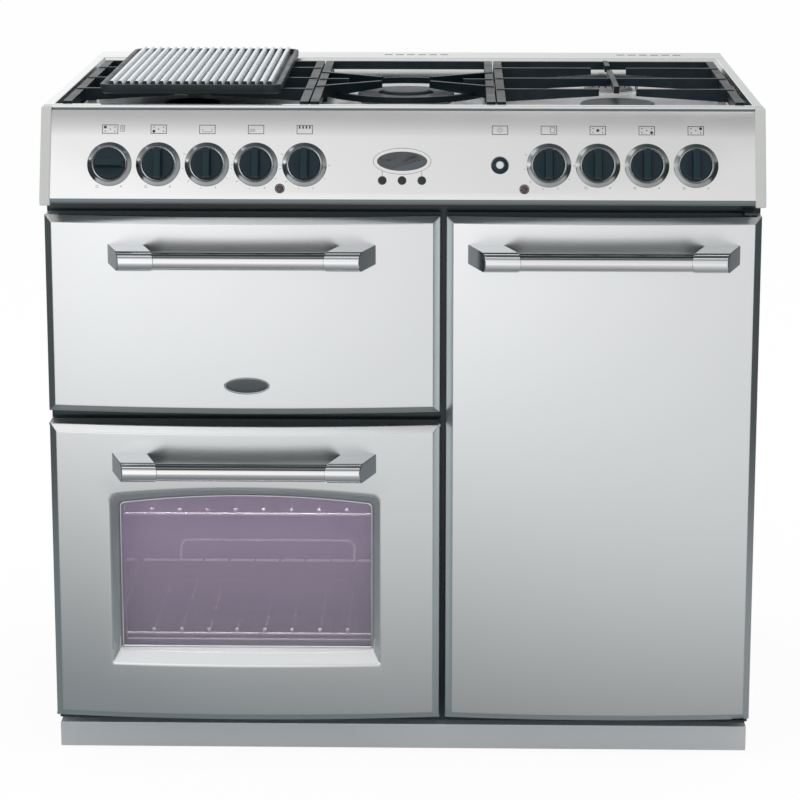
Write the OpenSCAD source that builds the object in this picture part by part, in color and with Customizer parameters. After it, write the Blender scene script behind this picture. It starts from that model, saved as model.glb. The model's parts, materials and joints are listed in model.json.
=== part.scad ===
// Dual fuel range cooker, 90 cm wide: gas hob, grill, main oven and tall oven.
// Origin: centre of the footprint on the floor. +X is to the right, +Y to the wall behind, +Z up.

/* [Overall] */
// Width over the side panels
cooker_w = 900; // [860:5:1000]
// Height of the hob rim above the floor, with the feet wound in
rim_h = 850; // [840:5:900]
// Depth from the door edges to the back panel
body_d = 600; // [580:5:650]

/* [Casing] */
// Thickness of side, back and base sheets
sheet_t = 2; // [1.5:0.5:3]
// Thickness of the front frame
frame_t = 3; // [2:0.5:4]
// Height of the base frame
base_h = 15; // [12:1:25]
// Height of the plinth
plinth_h = 33; // [25:1:40]
// Gap between the plinth and the floor
plinth_clear = 5; // [4:1:10]
// Distance of the plinth behind the door edges
plinth_setback = 17; // [14:1:30]
// Depth of the plinth behind the front frame
plinth_lap = 20; // [10:1:30]

/* [Feet] */
// Radius of a foot pad
foot_r = 20; // [14:1:22]
// Radius of a foot stem
stem_r = 5; // [4:0.5:6]
// Distance that a foot winds down
foot_travel = 50; // [30:5:60]
// Distance of a foot from the side of the casing
foot_side = 24; // [24:1:28]
// Distance of a foot from the front frame or the back panel
foot_inset = 44; // [30:2:70]

/* [Doors] */
// Height of the frame band between the control panel and the doors
door_band = 17; // [15:0.5:20]
// Height of the bottom edge of the doors
door_bottom_h = 54.5; // [54:0.5:60]
// Height of the grill door
grill_door_h = 253; // [245:1:255]
// Gap between the grill door and the main oven door
door_split = 16; // [14:1:20]
// Width of the two left doors
left_door_w = 496.5; // [480:0.5:500]
// Gap between the left doors and the tall door
door_gap = 7; // [6:1:12]
// Gap between a door and the side of the cooker
door_side = 1.5; // [1:0.5:4]
// Depth of a door behind its edge
door_t = 32; // [30:1:36]
// Running gap between a door and the front frame
frame_gap = 3; // [3:0.5:5]
// Radius of the bowed door fronts
bow_r = 2000; // [1800:100:4000]
// Width of the bevelled border of a door
bevel_w = 9; // [6:0.5:12]
// Depth of the bevelled border of a door
bevel_d = 8; // [6:0.5:9]
// Thickness of a door's outer skin
skin_t = 2.5; // [2:0.5:3]
// Thickness of a door liner
liner_t = 6; // [4:1:8]
// Inset of a liner from the door edge
liner_inset = 8; // [6:1:10]
// Width of the flange that carries the liner
flange_w = 14; // [12:1:18]
// Thickness of a door seal
seal_t = 2.7; // [2:0.1:2.7]
// Width of a door seal
seal_w = 8; // [6:1:10]

/* [Hinges] */
// Distance of a drop-down door's pivot in front of the door edge
drop_pivot_fwd = 6; // [5:0.5:7]
// Height of a drop-down door's pivot above the door's bottom edge
drop_pivot_up = 12; // [11:0.5:14]
// Distance of a hinge bracket from the side of its door
hinge_side = 60; // [50:5:80]
// Distance of the tall door's pivot behind the door edge
tall_pivot_back = 6; // [4:1:9]
// Distance of the tall door's pivot from the door's right edge
tall_pivot_side = 14; // [12:1:18]
// Radius of a hinge pin
pin_r = 3; // [2:0.5:3]
// Radius of a tall door pivot pin
tall_pin_r = 4; // [3:0.5:5]
// Running clearance of pins, shafts and spindles in their bores
run_gap = 0.05; // [0.03:0.01:0.08]

/* [Window] */
// Width of the glass opening
window_w = 325; // [280:5:340]
// Height from the sides of the glass opening to the top edge of its door
window_drop = 105.5; // [95:0.5:130]
// Rise of the arch over the sides of the opening
window_rise = 10; // [4:1:14]
// Height of the opening's lower edge above the door's bottom edge
window_up = 90.5; // [85:0.5:100]
// Depth of the outer pane behind the door edge
glass_depth = 8; // [6:1:9]
// Thickness of a pane
glass_t = 4; // [3:0.5:5]
// Run of the recess at its sides
recess_side = 9; // [6:1:12]
// Run of the recess at its top and bottom
recess_low = 14; // [8:1:16]
// Width of the bright trim round the glass
trim_w = 2.5; // [2:0.5:4]

/* [Handles] */
// Width of a handle over its brackets
handle_w = 341; // [300:1:360]
// Distance of a handle below the top edge of its door
handle_drop = 47.5; // [42:0.5:60]
// Distance of the bar's axis in front of the door edge
bar_reach = 63; // [58:1:66]
// Radius of the bar
bar_r = 11.3; // [9:0.1:12]
// Radius of the bracket ends
collar_r = 12.5; // [12.5:0.1:14]
// Width of a bracket
bracket_w = 44; // [36:1:50]
// Inward lean of a bracket from the door to the bar
bracket_lean = 18; // [10:1:22]

/* [Control panel] */
// Height of the sloping face
panel_h = 108; // [100:1:112]
// Distance that the face leans back over its height
panel_lean = 37; // [25:1:38]
// Height of the lip below the face
panel_lip = 7; // [5:1:8]
// Thickness of the panel sheet
panel_t = 2.5; // [2:0.5:3]
// Distance of the top of the panel behind the door edge
panel_top_y = 11; // [8:1:12]
// Width of an end cap
cap_w = 13; // [10:1:16]
// Distance that an end cap stands in front of the panel
cap_proud = 2; // [1:0.5:4]
// Distance from one knob to the next
knob_pitch = 60.6; // [57:0.2:61]
// Distance of the knobs down the sloping face
knob_drop = 70.8; // [60:0.2:80]
// Radius of a knob
knob_r = 20.2; // [17:0.2:21]
// Height of a knob's grip above the panel
knob_h = 19; // [15:1:24]
// Radius of a knob's bezel ring
bezel_r = 27.7; // [25:0.1:28]
// Radius of a knob spindle
spindle_r = 3; // [2.5:0.5:4]
// Width of the clock display
clock_w = 62; // [50:1:70]
// Height of the clock display
clock_h = 24; // [20:1:28]
// Distance of the clock down the sloping face
clock_drop = 66; // [60:1:70]
// Distance from one clock button to the next
clock_pitch = 24.5; // [18:0.5:26]
// Distance of the clock buttons down the sloping face
button_drop = 90.3; // [88:0.1:94]
// Radius of a clock button
button_r = 4; // [3:0.5:5]
// Travel of a push button
button_travel = 1.5; // [1:0.5:2]
// Radius of the ignition button
ignition_r = 5; // [4:0.5:6]
// Distance of a lamp from the centre line
lamp_x = 151.5; // [146:0.5:156]
// Distance of the lamps down the sloping face
lamp_drop = 100.8; // [98:0.2:103]
// Radius of a lamp
lamp_r = 4.5; // [3:0.5:5]

/* [Hob] */
// Distance of the hob's front edge behind the door edge
hob_front = 12; // [12:1:20]
// Gap between the hob rim and the side of the cooker
hob_side = 3; // [2:0.5:6]
// Width of the hob rim
hob_rim_w = 12; // [8:1:20]
// Thickness of the hob rim
rim_t = 4; // [3:0.5:5]
// Height of the skirt under the rim
skirt_h = 14; // [10:1:18]
// Depth of the well below the rim
well_depth = 28; // [22:1:30]
// Inset of the well floor from the rim
well_slope = 8; // [4:1:12]
// Depth of the rear vent strip
vent_d = 71; // [60:1:90]
// Distance of the outer vent slots from the sides of the hob
vent_side = 105; // [80:1:130]
// Offset of the middle vent slots from the centre line
vent_mid = 9; // [0:1:20]
// Distance of the vent slots in front of the back panel
vent_back = 34; // [20:1:45]
// Distance of the side burners from the centre line
burner_x = 275; // [265:1:285]
// Distance of the front burners behind the door edge
burner_front = 158; // [150:1:170]
// Distance of the rear burners behind the door edge
burner_rear = 387; // [375:1:395]
// Distance of the wok burner behind the door edge
wok_back = 262; // [255:1:270]
// Radius of the large burner cap
large_cap_r = 48; // [44:1:50]
// Radius of a medium burner cap
medium_cap_r = 36; // [30:1:40]
// Outer radius of the wok burner
wok_r = 64; // [56:1:66]

/* [Pan supports] */
// Height of the pan supports above the hob rim
support_up = 3; // [0:1:8]
// Width of the centre pan support
centre_w = 234; // [220:1:240]
// Distance of the pan supports behind the door edge
support_front = 34; // [33:1:40]
// Depth of the pan supports
support_d = 440; // [425:1:450]
// Width of a side rail of a pan support
rail_w = 11; // [8:1:12]
// Height of a side rail of a pan support
rail_h = 11; // [8:1:12]
// Thickness of a support blade
bar_w = 7; // [5:1:9]
// Height of a support blade at the rails
blade_deep = 17; // [13:1:18]
// Height of a support blade at its free end
blade_thin = 9; // [7:1:12]
// Free radius over each side burner
burner_clear = 24; // [18:1:30]
// Gap between neighbouring supports
support_gap = 2; // [1:0.5:4]
// Distance that a pan support or the griddle lifts
lift_travel = 150; // [50:10:300]

/* [Griddle] */
// Width of the griddle
griddle_w = 232; // [200:1:250]
// Depth of the griddle
griddle_d = 415; // [380:5:430]
// Height of the griddle
griddle_h = 16; // [12:1:20]
// Number of ribs
rib_count = 20; // [10:1:24]

/* [Ovens] */
// Width from the grill or main oven cavity to the side of its door
left_cavity_side = 62.25; // [58:0.25:70]
// Width from the tall oven cavity to the side of its door
tall_cavity_side = 37.75; // [34:0.25:46]
// Height of an oven floor above the bottom edge of its door
oven_rise = 45.5; // [43:0.5:48]
// Height of the grill cavity floor above the bottom edge of its door
grill_rise = 39; // [37:1:42]
// Height from the roof of the grill or tall oven cavity to the top edge of its door
cavity_drop = 39; // [37:1:42]
// Height from the roof of the main oven cavity to the top edge of its door
main_drop = 40; // [38:1:44]
// Depth of the cavities behind the front frame
cavity_d = 410; // [380:5:420]
// Thickness of a cavity wall
cavity_t = 2; // [1.5:0.5:3]
// Height of the grill pan's ledge above the grill cavity floor
grill_pan_up = 62; // [50:1:80]
// Distance of the grill pan's rear edge in front of the ends of its ledges
pan_short = 20; // [10:1:40]
// Radius of a fan
fan_r = 78; // [60:1:85]
// Radius of a fan shaft
shaft_r = 4; // [3:0.5:5]
// Height of the lowest main oven shelf above the oven floor
main_low_shelf = 43; // [35:1:50]
// Distance of the upper main oven shelf below the roof
main_shelf_drops = [99]; // [60:1:170]
// Height of the lowest tall oven shelf above the oven floor
tall_low_shelf = 90; // [35:1:100]
// Distances of the other tall oven shelves below the roof
tall_shelf_drops = [345, 225, 105]; // [60:1:350]

/* [Services] */
// Radius of the gas inlet thread
inlet_r = 10.5; // [9:0.5:12]
// Distance that the gas inlet stands behind the back panel
inlet_out = 25; // [20:1:40]
// Distance of the gas inlet from the side of the cooker
inlet_side = 50; // [40:1:60]
// Radius of the cable gland's bore
gland_r = 6; // [5:0.5:8]
// Distance of the cable gland from the side of the cooker
gland_side = 90; // [60:5:200]
// Distance of the terminal box below the hob rim
gland_drop = 210; // [170:10:500]
// Distance between the two bracket holes in the back panel
bolt_spacing = 300; // [200:10:320]
// Distance of the bracket holes below the hob rim
bolt_drop = 290; // [260:5:400]
// Radius of the bracket holes
bolt_r = 3; // [2.5:0.5:4]
// Distance of the lowest louvre below the vent strip
louvre_drop = 203; // [190:1:210]
// Distance from one louvre to the next
louvre_pitch = 12; // [10:1:14]
// Distance of the louvres from the centre line
louvre_x = 190; // [170:5:220]
// Width of a louvre
louvre_w = 140; // [100:5:150]

/* [Hidden] */
$fn = 48;
eps = 0.01;

// Places along Y: the whole depth is centred on the origin
door_y = -(body_d + inlet_out - bar_reach - collar_r) / 2;
back_y = door_y + body_d;
frame_y = door_y + door_t + frame_gap;
frame_back = frame_y + frame_t;
half_w = cooker_w / 2;
inner_x = half_w - sheet_t;
base_z = plinth_clear + plinth_h;

// Control panel: its sloping face starts at the top edge and leans by this angle
panel_top = [door_y + panel_top_y, rim_h - rim_t];
lean = atan(panel_lean / panel_h);
face_y = panel_top[0] - panel_lean;
lip_z = panel_top[1] - panel_h - panel_lip;
door_top_h = lip_z - door_band;

// Doors: each is [left x, right x, bottom z, top z]
left_x0 = -half_w + door_side;
left_x1 = left_x0 + left_door_w;
tall_x0 = left_x1 + door_gap;
tall_x1 = half_w - door_side;
grill_z0 = door_top_h - grill_door_h;
grill_door = [left_x0, left_x1, grill_z0, door_top_h];
main_door = [left_x0, left_x1, door_bottom_h, grill_z0 - door_split];
tall_door = [tall_x0, tall_x1, door_bottom_h, door_top_h];
window_h = main_door[3] - window_drop - main_door[2] - window_up;
left_cx = (left_x0 + left_x1) / 2;
tall_cx = (tall_x0 + tall_x1) / 2;
liner_y = door_y + door_t - liner_t;
drop_pivot_y = door_y - drop_pivot_fwd;
tall_pivot = [tall_x1 - tall_pivot_side, door_y + tall_pivot_back];
hinge_t = 3;
hinge_eye_r = pin_r + 2;
neck_low = 1.5;
slot_w = hinge_t + 2;
cheek_t = 3;
lug_gap = 1.5;
pivot_in = 18;
bow_steps = 16;

// Knobs and what lies behind the sloping face
knob_x = [for (i = [-6, -5, -4, -3, -2, 3, 4, 5, 6]) i * knob_pitch];
gas_knobs = [0, 1, 6, 7, 8];
ignition_x = 2 * knob_pitch;
panel_x = half_w - cap_w;
rail_depth = 46;
rail_r = 8;
tap_r = 12;
spindle_in = 16;
// The gas rail lies behind the sloping face and feeds the inlet at the rear
gas_x = half_w - inlet_side;
gas_y = panel_top[0] - knob_drop * sin(lean) + rail_depth * cos(lean);
gas_z = panel_top[1] - knob_drop * cos(lean) - rail_depth * sin(lean);
gland_x = -half_w + gland_side;
gland_z = rim_h - gland_drop;
bolt_z = rim_h - bolt_drop;

// Hob: the well holds the burners, and the vent strip closes the rear
hob_x = half_w - hob_side;
hob_y0 = door_y + hob_front;
hob_y1 = back_y - vent_d;
well_z = rim_h - well_depth;
vent_z0 = rim_h - 35;
skirt_z = rim_h - skirt_h;
cup_r = 24;
cup_drop = 30;
burners = [
    [-burner_x, door_y + burner_front, medium_cap_r],
    [-burner_x, door_y + burner_rear, medium_cap_r],
    [burner_x, door_y + burner_front, large_cap_r],
    [burner_x, door_y + burner_rear, medium_cap_r],
    [0, door_y + wok_back, wok_r]
];
crown_z = well_z + 4;
cap_z = well_z + 10;

// Pan supports
support_z = rim_h + support_up;
support_y0 = door_y + support_front;
support_y1 = support_y0 + support_d;
side_out = hob_x - hob_rim_w - well_slope - 1;
centre_half = (centre_w - support_gap) / 2;
side_in = (centre_w + support_gap) / 2;
rail_top = support_z - 1;
ring_z = rail_top - rail_h - 7;
mid_y = door_y + (burner_front + burner_rear) / 2;

// Griddle on the left pan support
griddle_x = -(side_in + side_out) / 2;
griddle_y0 = door_y + 90;
griddle_z = support_z + 0.3;

// Cavities: each is [centre x, floor z, width, height]
oven_floor_h = door_bottom_h + oven_rise;
grill_floor_h = grill_z0 + grill_rise;
cavity_w = left_door_w - 2 * left_cavity_side;
tall_w = tall_x1 - tall_x0 - 2 * tall_cavity_side;
grill_h = door_top_h - cavity_drop - grill_floor_h;
main_h = main_door[3] - main_drop - oven_floor_h;
tall_h = door_top_h - cavity_drop - oven_floor_h;
grill_cavity_box = [left_cx, grill_floor_h, cavity_w, grill_h];
main_cavity_box = [left_cx, oven_floor_h, cavity_w, main_h];
tall_cavity_box = [tall_cx, oven_floor_h, tall_w, tall_h];
cavity_y1 = frame_back + cavity_d;
main_fan_z = oven_floor_h + main_h / 2;
tall_fan_z = oven_floor_h + tall_h / 2;
fans = [[left_cx, main_fan_z], [tall_cx, tall_fan_z]];
grill_pan_z = grill_floor_h + grill_pan_up;
main_shelves = shelf_levels(main_low_shelf, main_shelf_drops, main_h);
tall_shelves = shelf_levels(tall_low_shelf, tall_shelf_drops, tall_h);
fan_space = 40;
runner_t = 2;
ledge_w = 9;
shelf_side = 3;
shelf_y0 = frame_back + 22;
shelf_y1 = cavity_y1 - fan_space - 12;

// Heights of an oven's shelves: the lowest from the floor, the others from the roof
function shelf_levels(low, drops, h) = concat([oven_floor_h + low], [for (d = drops) oven_floor_h + h - d]);

// A box between two values on each axis
module box(x0, x1, y0, y1, z0, z1) {
    translate([x0, y0, z0]) cube([x1 - x0, y1 - y0, z1 - z0]);
}

module rod_x(x0, x1, y, z, r) {
    translate([x0, y, z]) rotate([0, 90, 0]) cylinder(r = r, h = x1 - x0);
}

module rod_y(x, y0, y1, z, r) {
    translate([x, y0, z]) rotate([-90, 0, 0]) cylinder(r = r, h = y1 - y0);
}

module rod_z(x, y, z0, z1, r) {
    translate([x, y, z0]) cylinder(r = r, h = z1 - z0);
}

// The same shape on the left and the right
module both_sides() {
    children();
    mirror([1, 0, 0]) children();
}

// Puts a shape on the sloping face: its Z is the outward normal and its Y points up the slope
module on_face(x, drop) {
    translate([x, panel_top[0] - drop * sin(lean), panel_top[1] - drop * cos(lean)])
        rotate([90 - lean, 0, 0]) children();
}

// Casing

module base_frame() {
    y0 = frame_back;
    y1 = back_y - sheet_t;
    boss_z = base_z + base_h + 4;
    color([0.55, 0.56, 0.57]) difference() {
        union() {
            difference() {
                box(-inner_x, inner_x, y0, y1, base_z, base_z + base_h);
                box(-inner_x + sheet_t, inner_x - sheet_t, y0 + sheet_t, y1 - sheet_t,
                    base_z + sheet_t, base_z + base_h + 1);
            }
            for (p = foot_places()) rod_z(p[0], p[1], base_z, boss_z, stem_r + 6);
        }
        for (p = foot_places()) rod_z(p[0], p[1], base_z - 1, boss_z + 1, stem_r + run_gap);
    }
}

function foot_places() = [
    for (x = [-half_w + foot_side, half_w - foot_side])
        for (y = [frame_back + foot_inset, back_y - foot_inset]) [x, y]
];

module levelling_feet() {
    pad_h = 8;
    color([0.16, 0.16, 0.17]) for (p = foot_places()) {
        rod_z(p[0], p[1], 0, pad_h, foot_r);
        translate([p[0], p[1], pad_h - eps]) cylinder(r = stem_r * 1.8, h = 6, $fn = 6);
        rod_z(p[0], p[1], pad_h, base_z + base_h + foot_travel, stem_r);
    }
}

module side_panels() {
    flange = 12;
    color([0.30, 0.31, 0.33]) both_sides() {
        box(inner_x, half_w, frame_y, back_y, base_z, skirt_z);
        box(inner_x - flange, inner_x + eps, frame_back, hob_y1 - 1, skirt_z - sheet_t, skirt_z);
    }
}

module back_panel() {
    slot_h = 5;
    color([0.62, 0.63, 0.64]) difference() {
        box(-inner_x, inner_x, back_y - sheet_t, back_y, base_z, vent_z0);
        for (side = [-1, 1]) for (i = [0:7]) {
            x = side * louvre_x;
            z = vent_z0 - louvre_drop + i * louvre_pitch;
            box(x - louvre_w / 2, x + louvre_w / 2, back_y - sheet_t - 1, back_y + 1, z, z + slot_h);
        }
        for (x = [-bolt_spacing / 2, bolt_spacing / 2])
            rod_y(x, back_y - sheet_t - 1, back_y + 1, bolt_z, bolt_r);
        rod_y(gas_x, back_y - sheet_t - 1, back_y + 1, gas_z, inlet_r + 1);
        rod_y(gland_x, back_y - sheet_t - 1, back_y + 1, gland_z, gland_r - 1);
    }
}

module front_frame() {
    color([0.10, 0.13, 0.17]) difference() {
        box(-inner_x, inner_x, frame_y, frame_back, base_z, lip_z + 4);
        cavity_hole(grill_cavity_box);
        cavity_hole(main_cavity_box);
        cavity_hole(tall_cavity_box);
    }
}

module cavity_hole(c) {
    box(c[0] - c[2] / 2, c[0] + c[2] / 2, frame_y - 1, frame_back + 1, c[1], c[1] + c[3]);
}

module plinth() {
    y0 = door_y + plinth_setback;
    depth = frame_back + plinth_lap - y0;
    color([0.66, 0.67, 0.69]) difference() {
        box(-hob_x, hob_x, y0, y0 + depth, plinth_clear, base_z);
        box(-hob_x - 1, hob_x + 1, y0 + sheet_t, y0 + depth + 1, plinth_clear - 1, base_z - sheet_t);
    }
}

// Hob

module well_shape(grow, top) {
    hull() {
        box(-hob_x + hob_rim_w - grow, hob_x - hob_rim_w + grow, hob_y0 + hob_rim_w - grow,
            hob_y1 - sheet_t + grow, rim_h - 1, top);
        box(-hob_x + hob_rim_w + well_slope - grow, hob_x - hob_rim_w - well_slope + grow,
            hob_y0 + hob_rim_w + well_slope - grow, hob_y1 - well_slope - sheet_t + grow,
            well_z - grow, well_z - grow + 1);
    }
}

module hob_top() {
    skirt_in = 4;
    color([0.74, 0.75, 0.76]) difference() {
        union() {
            box(-hob_x, hob_x, hob_y0, hob_y1, rim_h - rim_t, rim_h);
            difference() {
                box(-hob_x + skirt_in, hob_x - skirt_in, hob_y0 + skirt_in, hob_y1,
                    skirt_z, rim_h - 1);
                box(-hob_x + skirt_in + sheet_t, hob_x - skirt_in - sheet_t,
                    hob_y0 + skirt_in + sheet_t, hob_y1 - sheet_t, skirt_z - 1, rim_h - 2);
            }
            well_shape(sheet_t, rim_h - eps);
        }
        well_shape(0, rim_h + 1);
        for (b = burners) rod_z(b[0], b[1], well_z - sheet_t - 1, well_z + 1, cup_r + 0.3);
    }
}

module rear_vent_trim() {
    slot_w2 = 10;
    slot_d = 6;
    slot_pitch = 16;
    color([0.80, 0.81, 0.82]) difference() {
        box(-hob_x, hob_x, hob_y1, back_y, vent_z0, rim_h);
        box(-hob_x + sheet_t, hob_x - sheet_t, hob_y1 + sheet_t, back_y - sheet_t,
            vent_z0 - 1, rim_h - sheet_t);
        for (group = [vent_side - hob_x, vent_mid, hob_x - vent_side]) for (i = [0:5]) {
            x = group + (i - 2.5) * slot_pitch;
            box(x - slot_w2 / 2, x + slot_w2 / 2, back_y - vent_back, back_y - vent_back + slot_d,
                rim_h - sheet_t - 1, rim_h + 1);
        }
    }
}

// Burners: cups under the well floor, crowns with flame ports and flat caps

module burner_bodies() {
    color([0.62, 0.62, 0.60]) for (b = burners) {
        rod_z(b[0], b[1], well_z, crown_z, b[2] - 3);
        rod_z(b[0], b[1], well_z - cup_drop, well_z + eps, cup_r);
        rod_y(b[0], b[1] - cup_r - 24, b[1], well_z - cup_drop / 2, 6);
        rod_z(b[0] + b[2] + 3, b[1], well_z, cap_z, 2.2);
    }
}

module burner_crowns() {
    ports = 20;
    color([0.45, 0.45, 0.44]) for (b = burners) difference() {
        rod_z(b[0], b[1], crown_z, cap_z, b[2] - 5);
        rod_z(b[0], b[1], crown_z - 1, cap_z + 1, b[2] - 12);
        for (i = [0:ports - 1]) translate([b[0], b[1], cap_z - 3])
            rotate([0, 0, (i + 0.5) * 360 / ports]) translate([b[2] - 20, -1, 0]) cube([20, 2, 4]);
    }
}

module burner_caps() {
    color([0.10, 0.10, 0.11]) for (i = [0:4]) {
        b = burners[i];
        hole = i == 4 ? b[2] * 0.58 : 0;
        translate([b[0], b[1], cap_z]) rotate_extrude()
            polygon([[hole, 0], [b[2], 0], [b[2], 2], [b[2] - 1.5, 3.5], [hole, 3.5]]);
        if (i == 4) translate([b[0], b[1], cap_z - 6]) rotate_extrude()
            polygon([[0, 0], [b[2] * 0.5, 0], [b[2] * 0.5, 11], [b[2] * 0.46, 13], [0, 13]]);
    }
}

// Cast-iron pan supports

// A blade along X at y: full depth at x0, thin at x1
module blade(x0, x1, y) {
    translate([0, y + bar_w / 2, 0]) rotate([90, 0, 0]) linear_extrude(bar_w) polygon([
        [x0, support_z - blade_deep], [x0, support_z], [x1, support_z], [x1, support_z - blade_thin]
    ]);
}

// Rails along Y with the bar that joins them at the rear, and the posts that stand in the well
module support_frame(x0, x1, post_y) {
    for (x = [x0, x1 - rail_w]) {
        box(x, x + rail_w, support_y0, support_y1, rail_top - rail_h, rail_top);
        for (y = post_y) box(x, x + rail_w, y - bar_w / 2, y + bar_w / 2, well_z, rail_top - 1);
    }
    box(x0, x1, support_y1 - bar_w, support_y1, rail_top - rail_h, rail_top);
}

module side_support(cx) {
    x0 = side_in;
    x1 = side_out;
    front = door_y + burner_front;
    rear = door_y + burner_rear;
    top = support_z;
    under = support_z - blade_thin;
    half = bar_w / 2;
    color([0.09, 0.09, 0.10]) {
        support_frame(x0, x1, [support_y0 + half, mid_y, support_y1 - half]);
        for (y = [front, rear]) {
            blade(x0 + 1, cx - burner_clear, y);
            blade(x1 - 1, cx + burner_clear, y);
        }
        blade(x0 + 1, cx, mid_y);
        blade(x1 - 1, cx, mid_y);
        box(cx - half, cx + half, front + burner_clear, rear - burner_clear, under, top);
        box(cx - half, cx + half, rear + burner_clear, support_y1, under, top);
    }
}

module pan_support_left() {
    mirror([1, 0, 0]) side_support(burner_x);
}

module pan_support_right() {
    side_support(burner_x);
}

module pan_support_centre() {
    x1 = centre_half;
    y = door_y + wok_back;
    half = bar_w / 2;
    turn = 34;
    tip = wok_r * 0.62;
    ring_r = centre_half - 6;
    color([0.09, 0.09, 0.10]) union() {
        support_frame(-x1, x1, [support_y0 + half, y, support_y1 - half]);
        difference() {
            rod_z(0, y, ring_z, ring_z + 8, ring_r);
            rod_z(0, y, ring_z - 1, ring_z + 9, ring_r - bar_w);
        }
        intersection() {
            translate([0, y, 0]) for (a = [turn, 180 - turn, 180 + turn, 360 - turn])
                rotate([0, 0, a]) blade(x1 / cos(turn), tip, 0);
            box(-x1, x1, support_y0, support_y1, well_z, support_z);
        }
        for (side = [-1, 1]) blade(side * (x1 - 1), side * (wok_r + 12), y);
    }
}

module griddle() {
    floor_t = 6;
    wall = 7;
    rib_w = 5;
    inner_w = griddle_w - 2 * wall - 16;
    step = inner_w / (rib_count - 1);
    x0 = griddle_x - griddle_w / 2;
    y1 = griddle_y0 + griddle_d;
    rib_h = griddle_h - floor_t;
    rib_x = griddle_x - inner_w / 2;
    color([0.20, 0.21, 0.22]) {
        difference() {
            box(x0, x0 + griddle_w, griddle_y0, y1, griddle_z, griddle_z + griddle_h);
            box(x0 + wall, x0 + griddle_w - wall, griddle_y0 + wall, y1 - wall,
                griddle_z + floor_t, griddle_z + griddle_h + 1);
        }
        for (i = [0:rib_count - 1])
            translate([rib_x + i * step, griddle_y0 + wall + 12, griddle_z + floor_t - eps])
                rotate([90, 0, 180]) linear_extrude(griddle_d - 2 * wall - 36)
                    polygon([[-rib_w / 2, 0], [rib_w / 2, 0], [1, rib_h], [-1, rib_h]]);
    }
}

// Control panel

module panel_profile() {
    k = panel_lean / panel_h;
    inner = panel_t / cos(lean);
    polygon([
        [panel_top[0], panel_top[1]],
        [face_y, lip_z + panel_lip],
        [face_y, lip_z],
        [frame_y, lip_z],
        [frame_y, lip_z + panel_t],
        [face_y + panel_t, lip_z + panel_t],
        [face_y + panel_t, lip_z + panel_lip - (inner - panel_t) / k],
        [panel_top[0] + inner, panel_top[1]]
    ]);
}

// Extrudes a profile drawn in Y and Z from x0 to x1
module along_x(x0, x1) {
    translate([x0, 0, 0]) rotate([90, 0, 90]) linear_extrude(x1 - x0) children();
}

module control_panel() {
    color([0.78, 0.79, 0.80]) difference() {
        along_x(-panel_x, panel_x) panel_profile();
        for (x = knob_x) on_face(x, knob_drop) cylinder(r = spindle_r + 1.5, h = 12, center = true);
        on_face(0, clock_drop) clock_oval(12, 0.2);
        for (i = [-1:1]) on_face(i * clock_pitch, button_drop)
            cylinder(r = button_r + 0.3, h = 12, center = true);
        on_face(ignition_x, knob_drop) cylinder(r = ignition_r + 0.3, h = 12, center = true);
        for (side = [-1, 1]) on_face(side * lamp_x, lamp_drop)
            cylinder(r = lamp_r + 0.1, h = 12, center = true);
    }
}

module clock_oval(h, grow) {
    translate([0, 0, -h / 2]) linear_extrude(h)
        scale([1, (clock_h + 2 * grow) / (clock_w + 2 * grow)]) circle(r = clock_w / 2 + grow);
}

module panel_end_caps() {
    top_y = door_y + hob_front;
    color([0.80, 0.81, 0.80]) both_sides() along_x(panel_x, half_w) polygon([
        [top_y, rim_h - 1],
        [top_y - cap_proud - 1, rim_h - 3],
        [face_y - cap_proud, lip_z + panel_lip],
        [face_y - cap_proud, lip_z - 2],
        [frame_y, lip_z - 2],
        [frame_y, skirt_z],
        [top_y, skirt_z]
    ]);
}

module knob_bezels() {
    color([0.60, 0.61, 0.62]) for (x = knob_x) on_face(x, knob_drop) rotate_extrude()
        polygon([[knob_r + 1, 0], [bezel_r, 0], [bezel_r, 1.2], [knob_r + 3.4, 5], [knob_r + 1, 5]]);
}

module knob(n, turn) {
    base = 0.8;
    disc = 8;
    grip_w = 9;
    color([0.10, 0.13, 0.16]) on_face(knob_x[n], knob_drop) rotate([0, 0, turn]) {
        rotate_extrude() polygon([
            [0, base], [knob_r, base], [knob_r, disc - 2], [knob_r - 1.5, disc], [0, disc]
        ]);
        intersection() {
            cylinder(r = knob_r - 1.5, h = knob_h);
            translate([-grip_w / 2, -knob_r, disc - 1]) cube([grip_w, 2 * knob_r, knob_h - disc + 1]);
        }
        translate([0, 0, -spindle_in]) cylinder(r = spindle_r, h = spindle_in + base + 1);
    }
}

module control_valves() {
    color([0.66, 0.58, 0.36]) {
        difference() {
            union() {
                for (i = gas_knobs) on_face(knob_x[i], knob_drop)
                    translate([0, 0, -rail_depth - 3]) cylinder(r = tap_r, h = rail_depth + 3 - panel_t);
                rod_x(knob_x[0] - 20, gas_x + 12, gas_y, gas_z, rail_r);
                rod_y(gas_x, gas_y, back_y - sheet_t, gas_z, rail_r - 2);
            }
            for (i = gas_knobs) spindle_bore(i);
        }
        for (i = [2, 3, 4, 5]) difference() {
            on_face(knob_x[i], knob_drop) translate([-16, -16, -panel_t - 26]) cube([32, 32, 26]);
            spindle_bore(i);
        }
        difference() {
            on_face(ignition_x, knob_drop) translate([0, 0, -panel_t - 20])
                cylinder(r = ignition_r + 5, h = 20);
            on_face(ignition_x, knob_drop) translate([0, 0, -panel_t - 10])
                cylinder(r = ignition_r + 2.2, h = 11);
        }
        on_face(ignition_x, knob_drop) rotate_extrude() polygon([
            [ignition_r + 0.4, 0], [ignition_r + 5, 0], [ignition_r + 5, 1], [ignition_r + 2, 3],
            [ignition_r + 0.4, 3]
        ]);
    }
}

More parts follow.
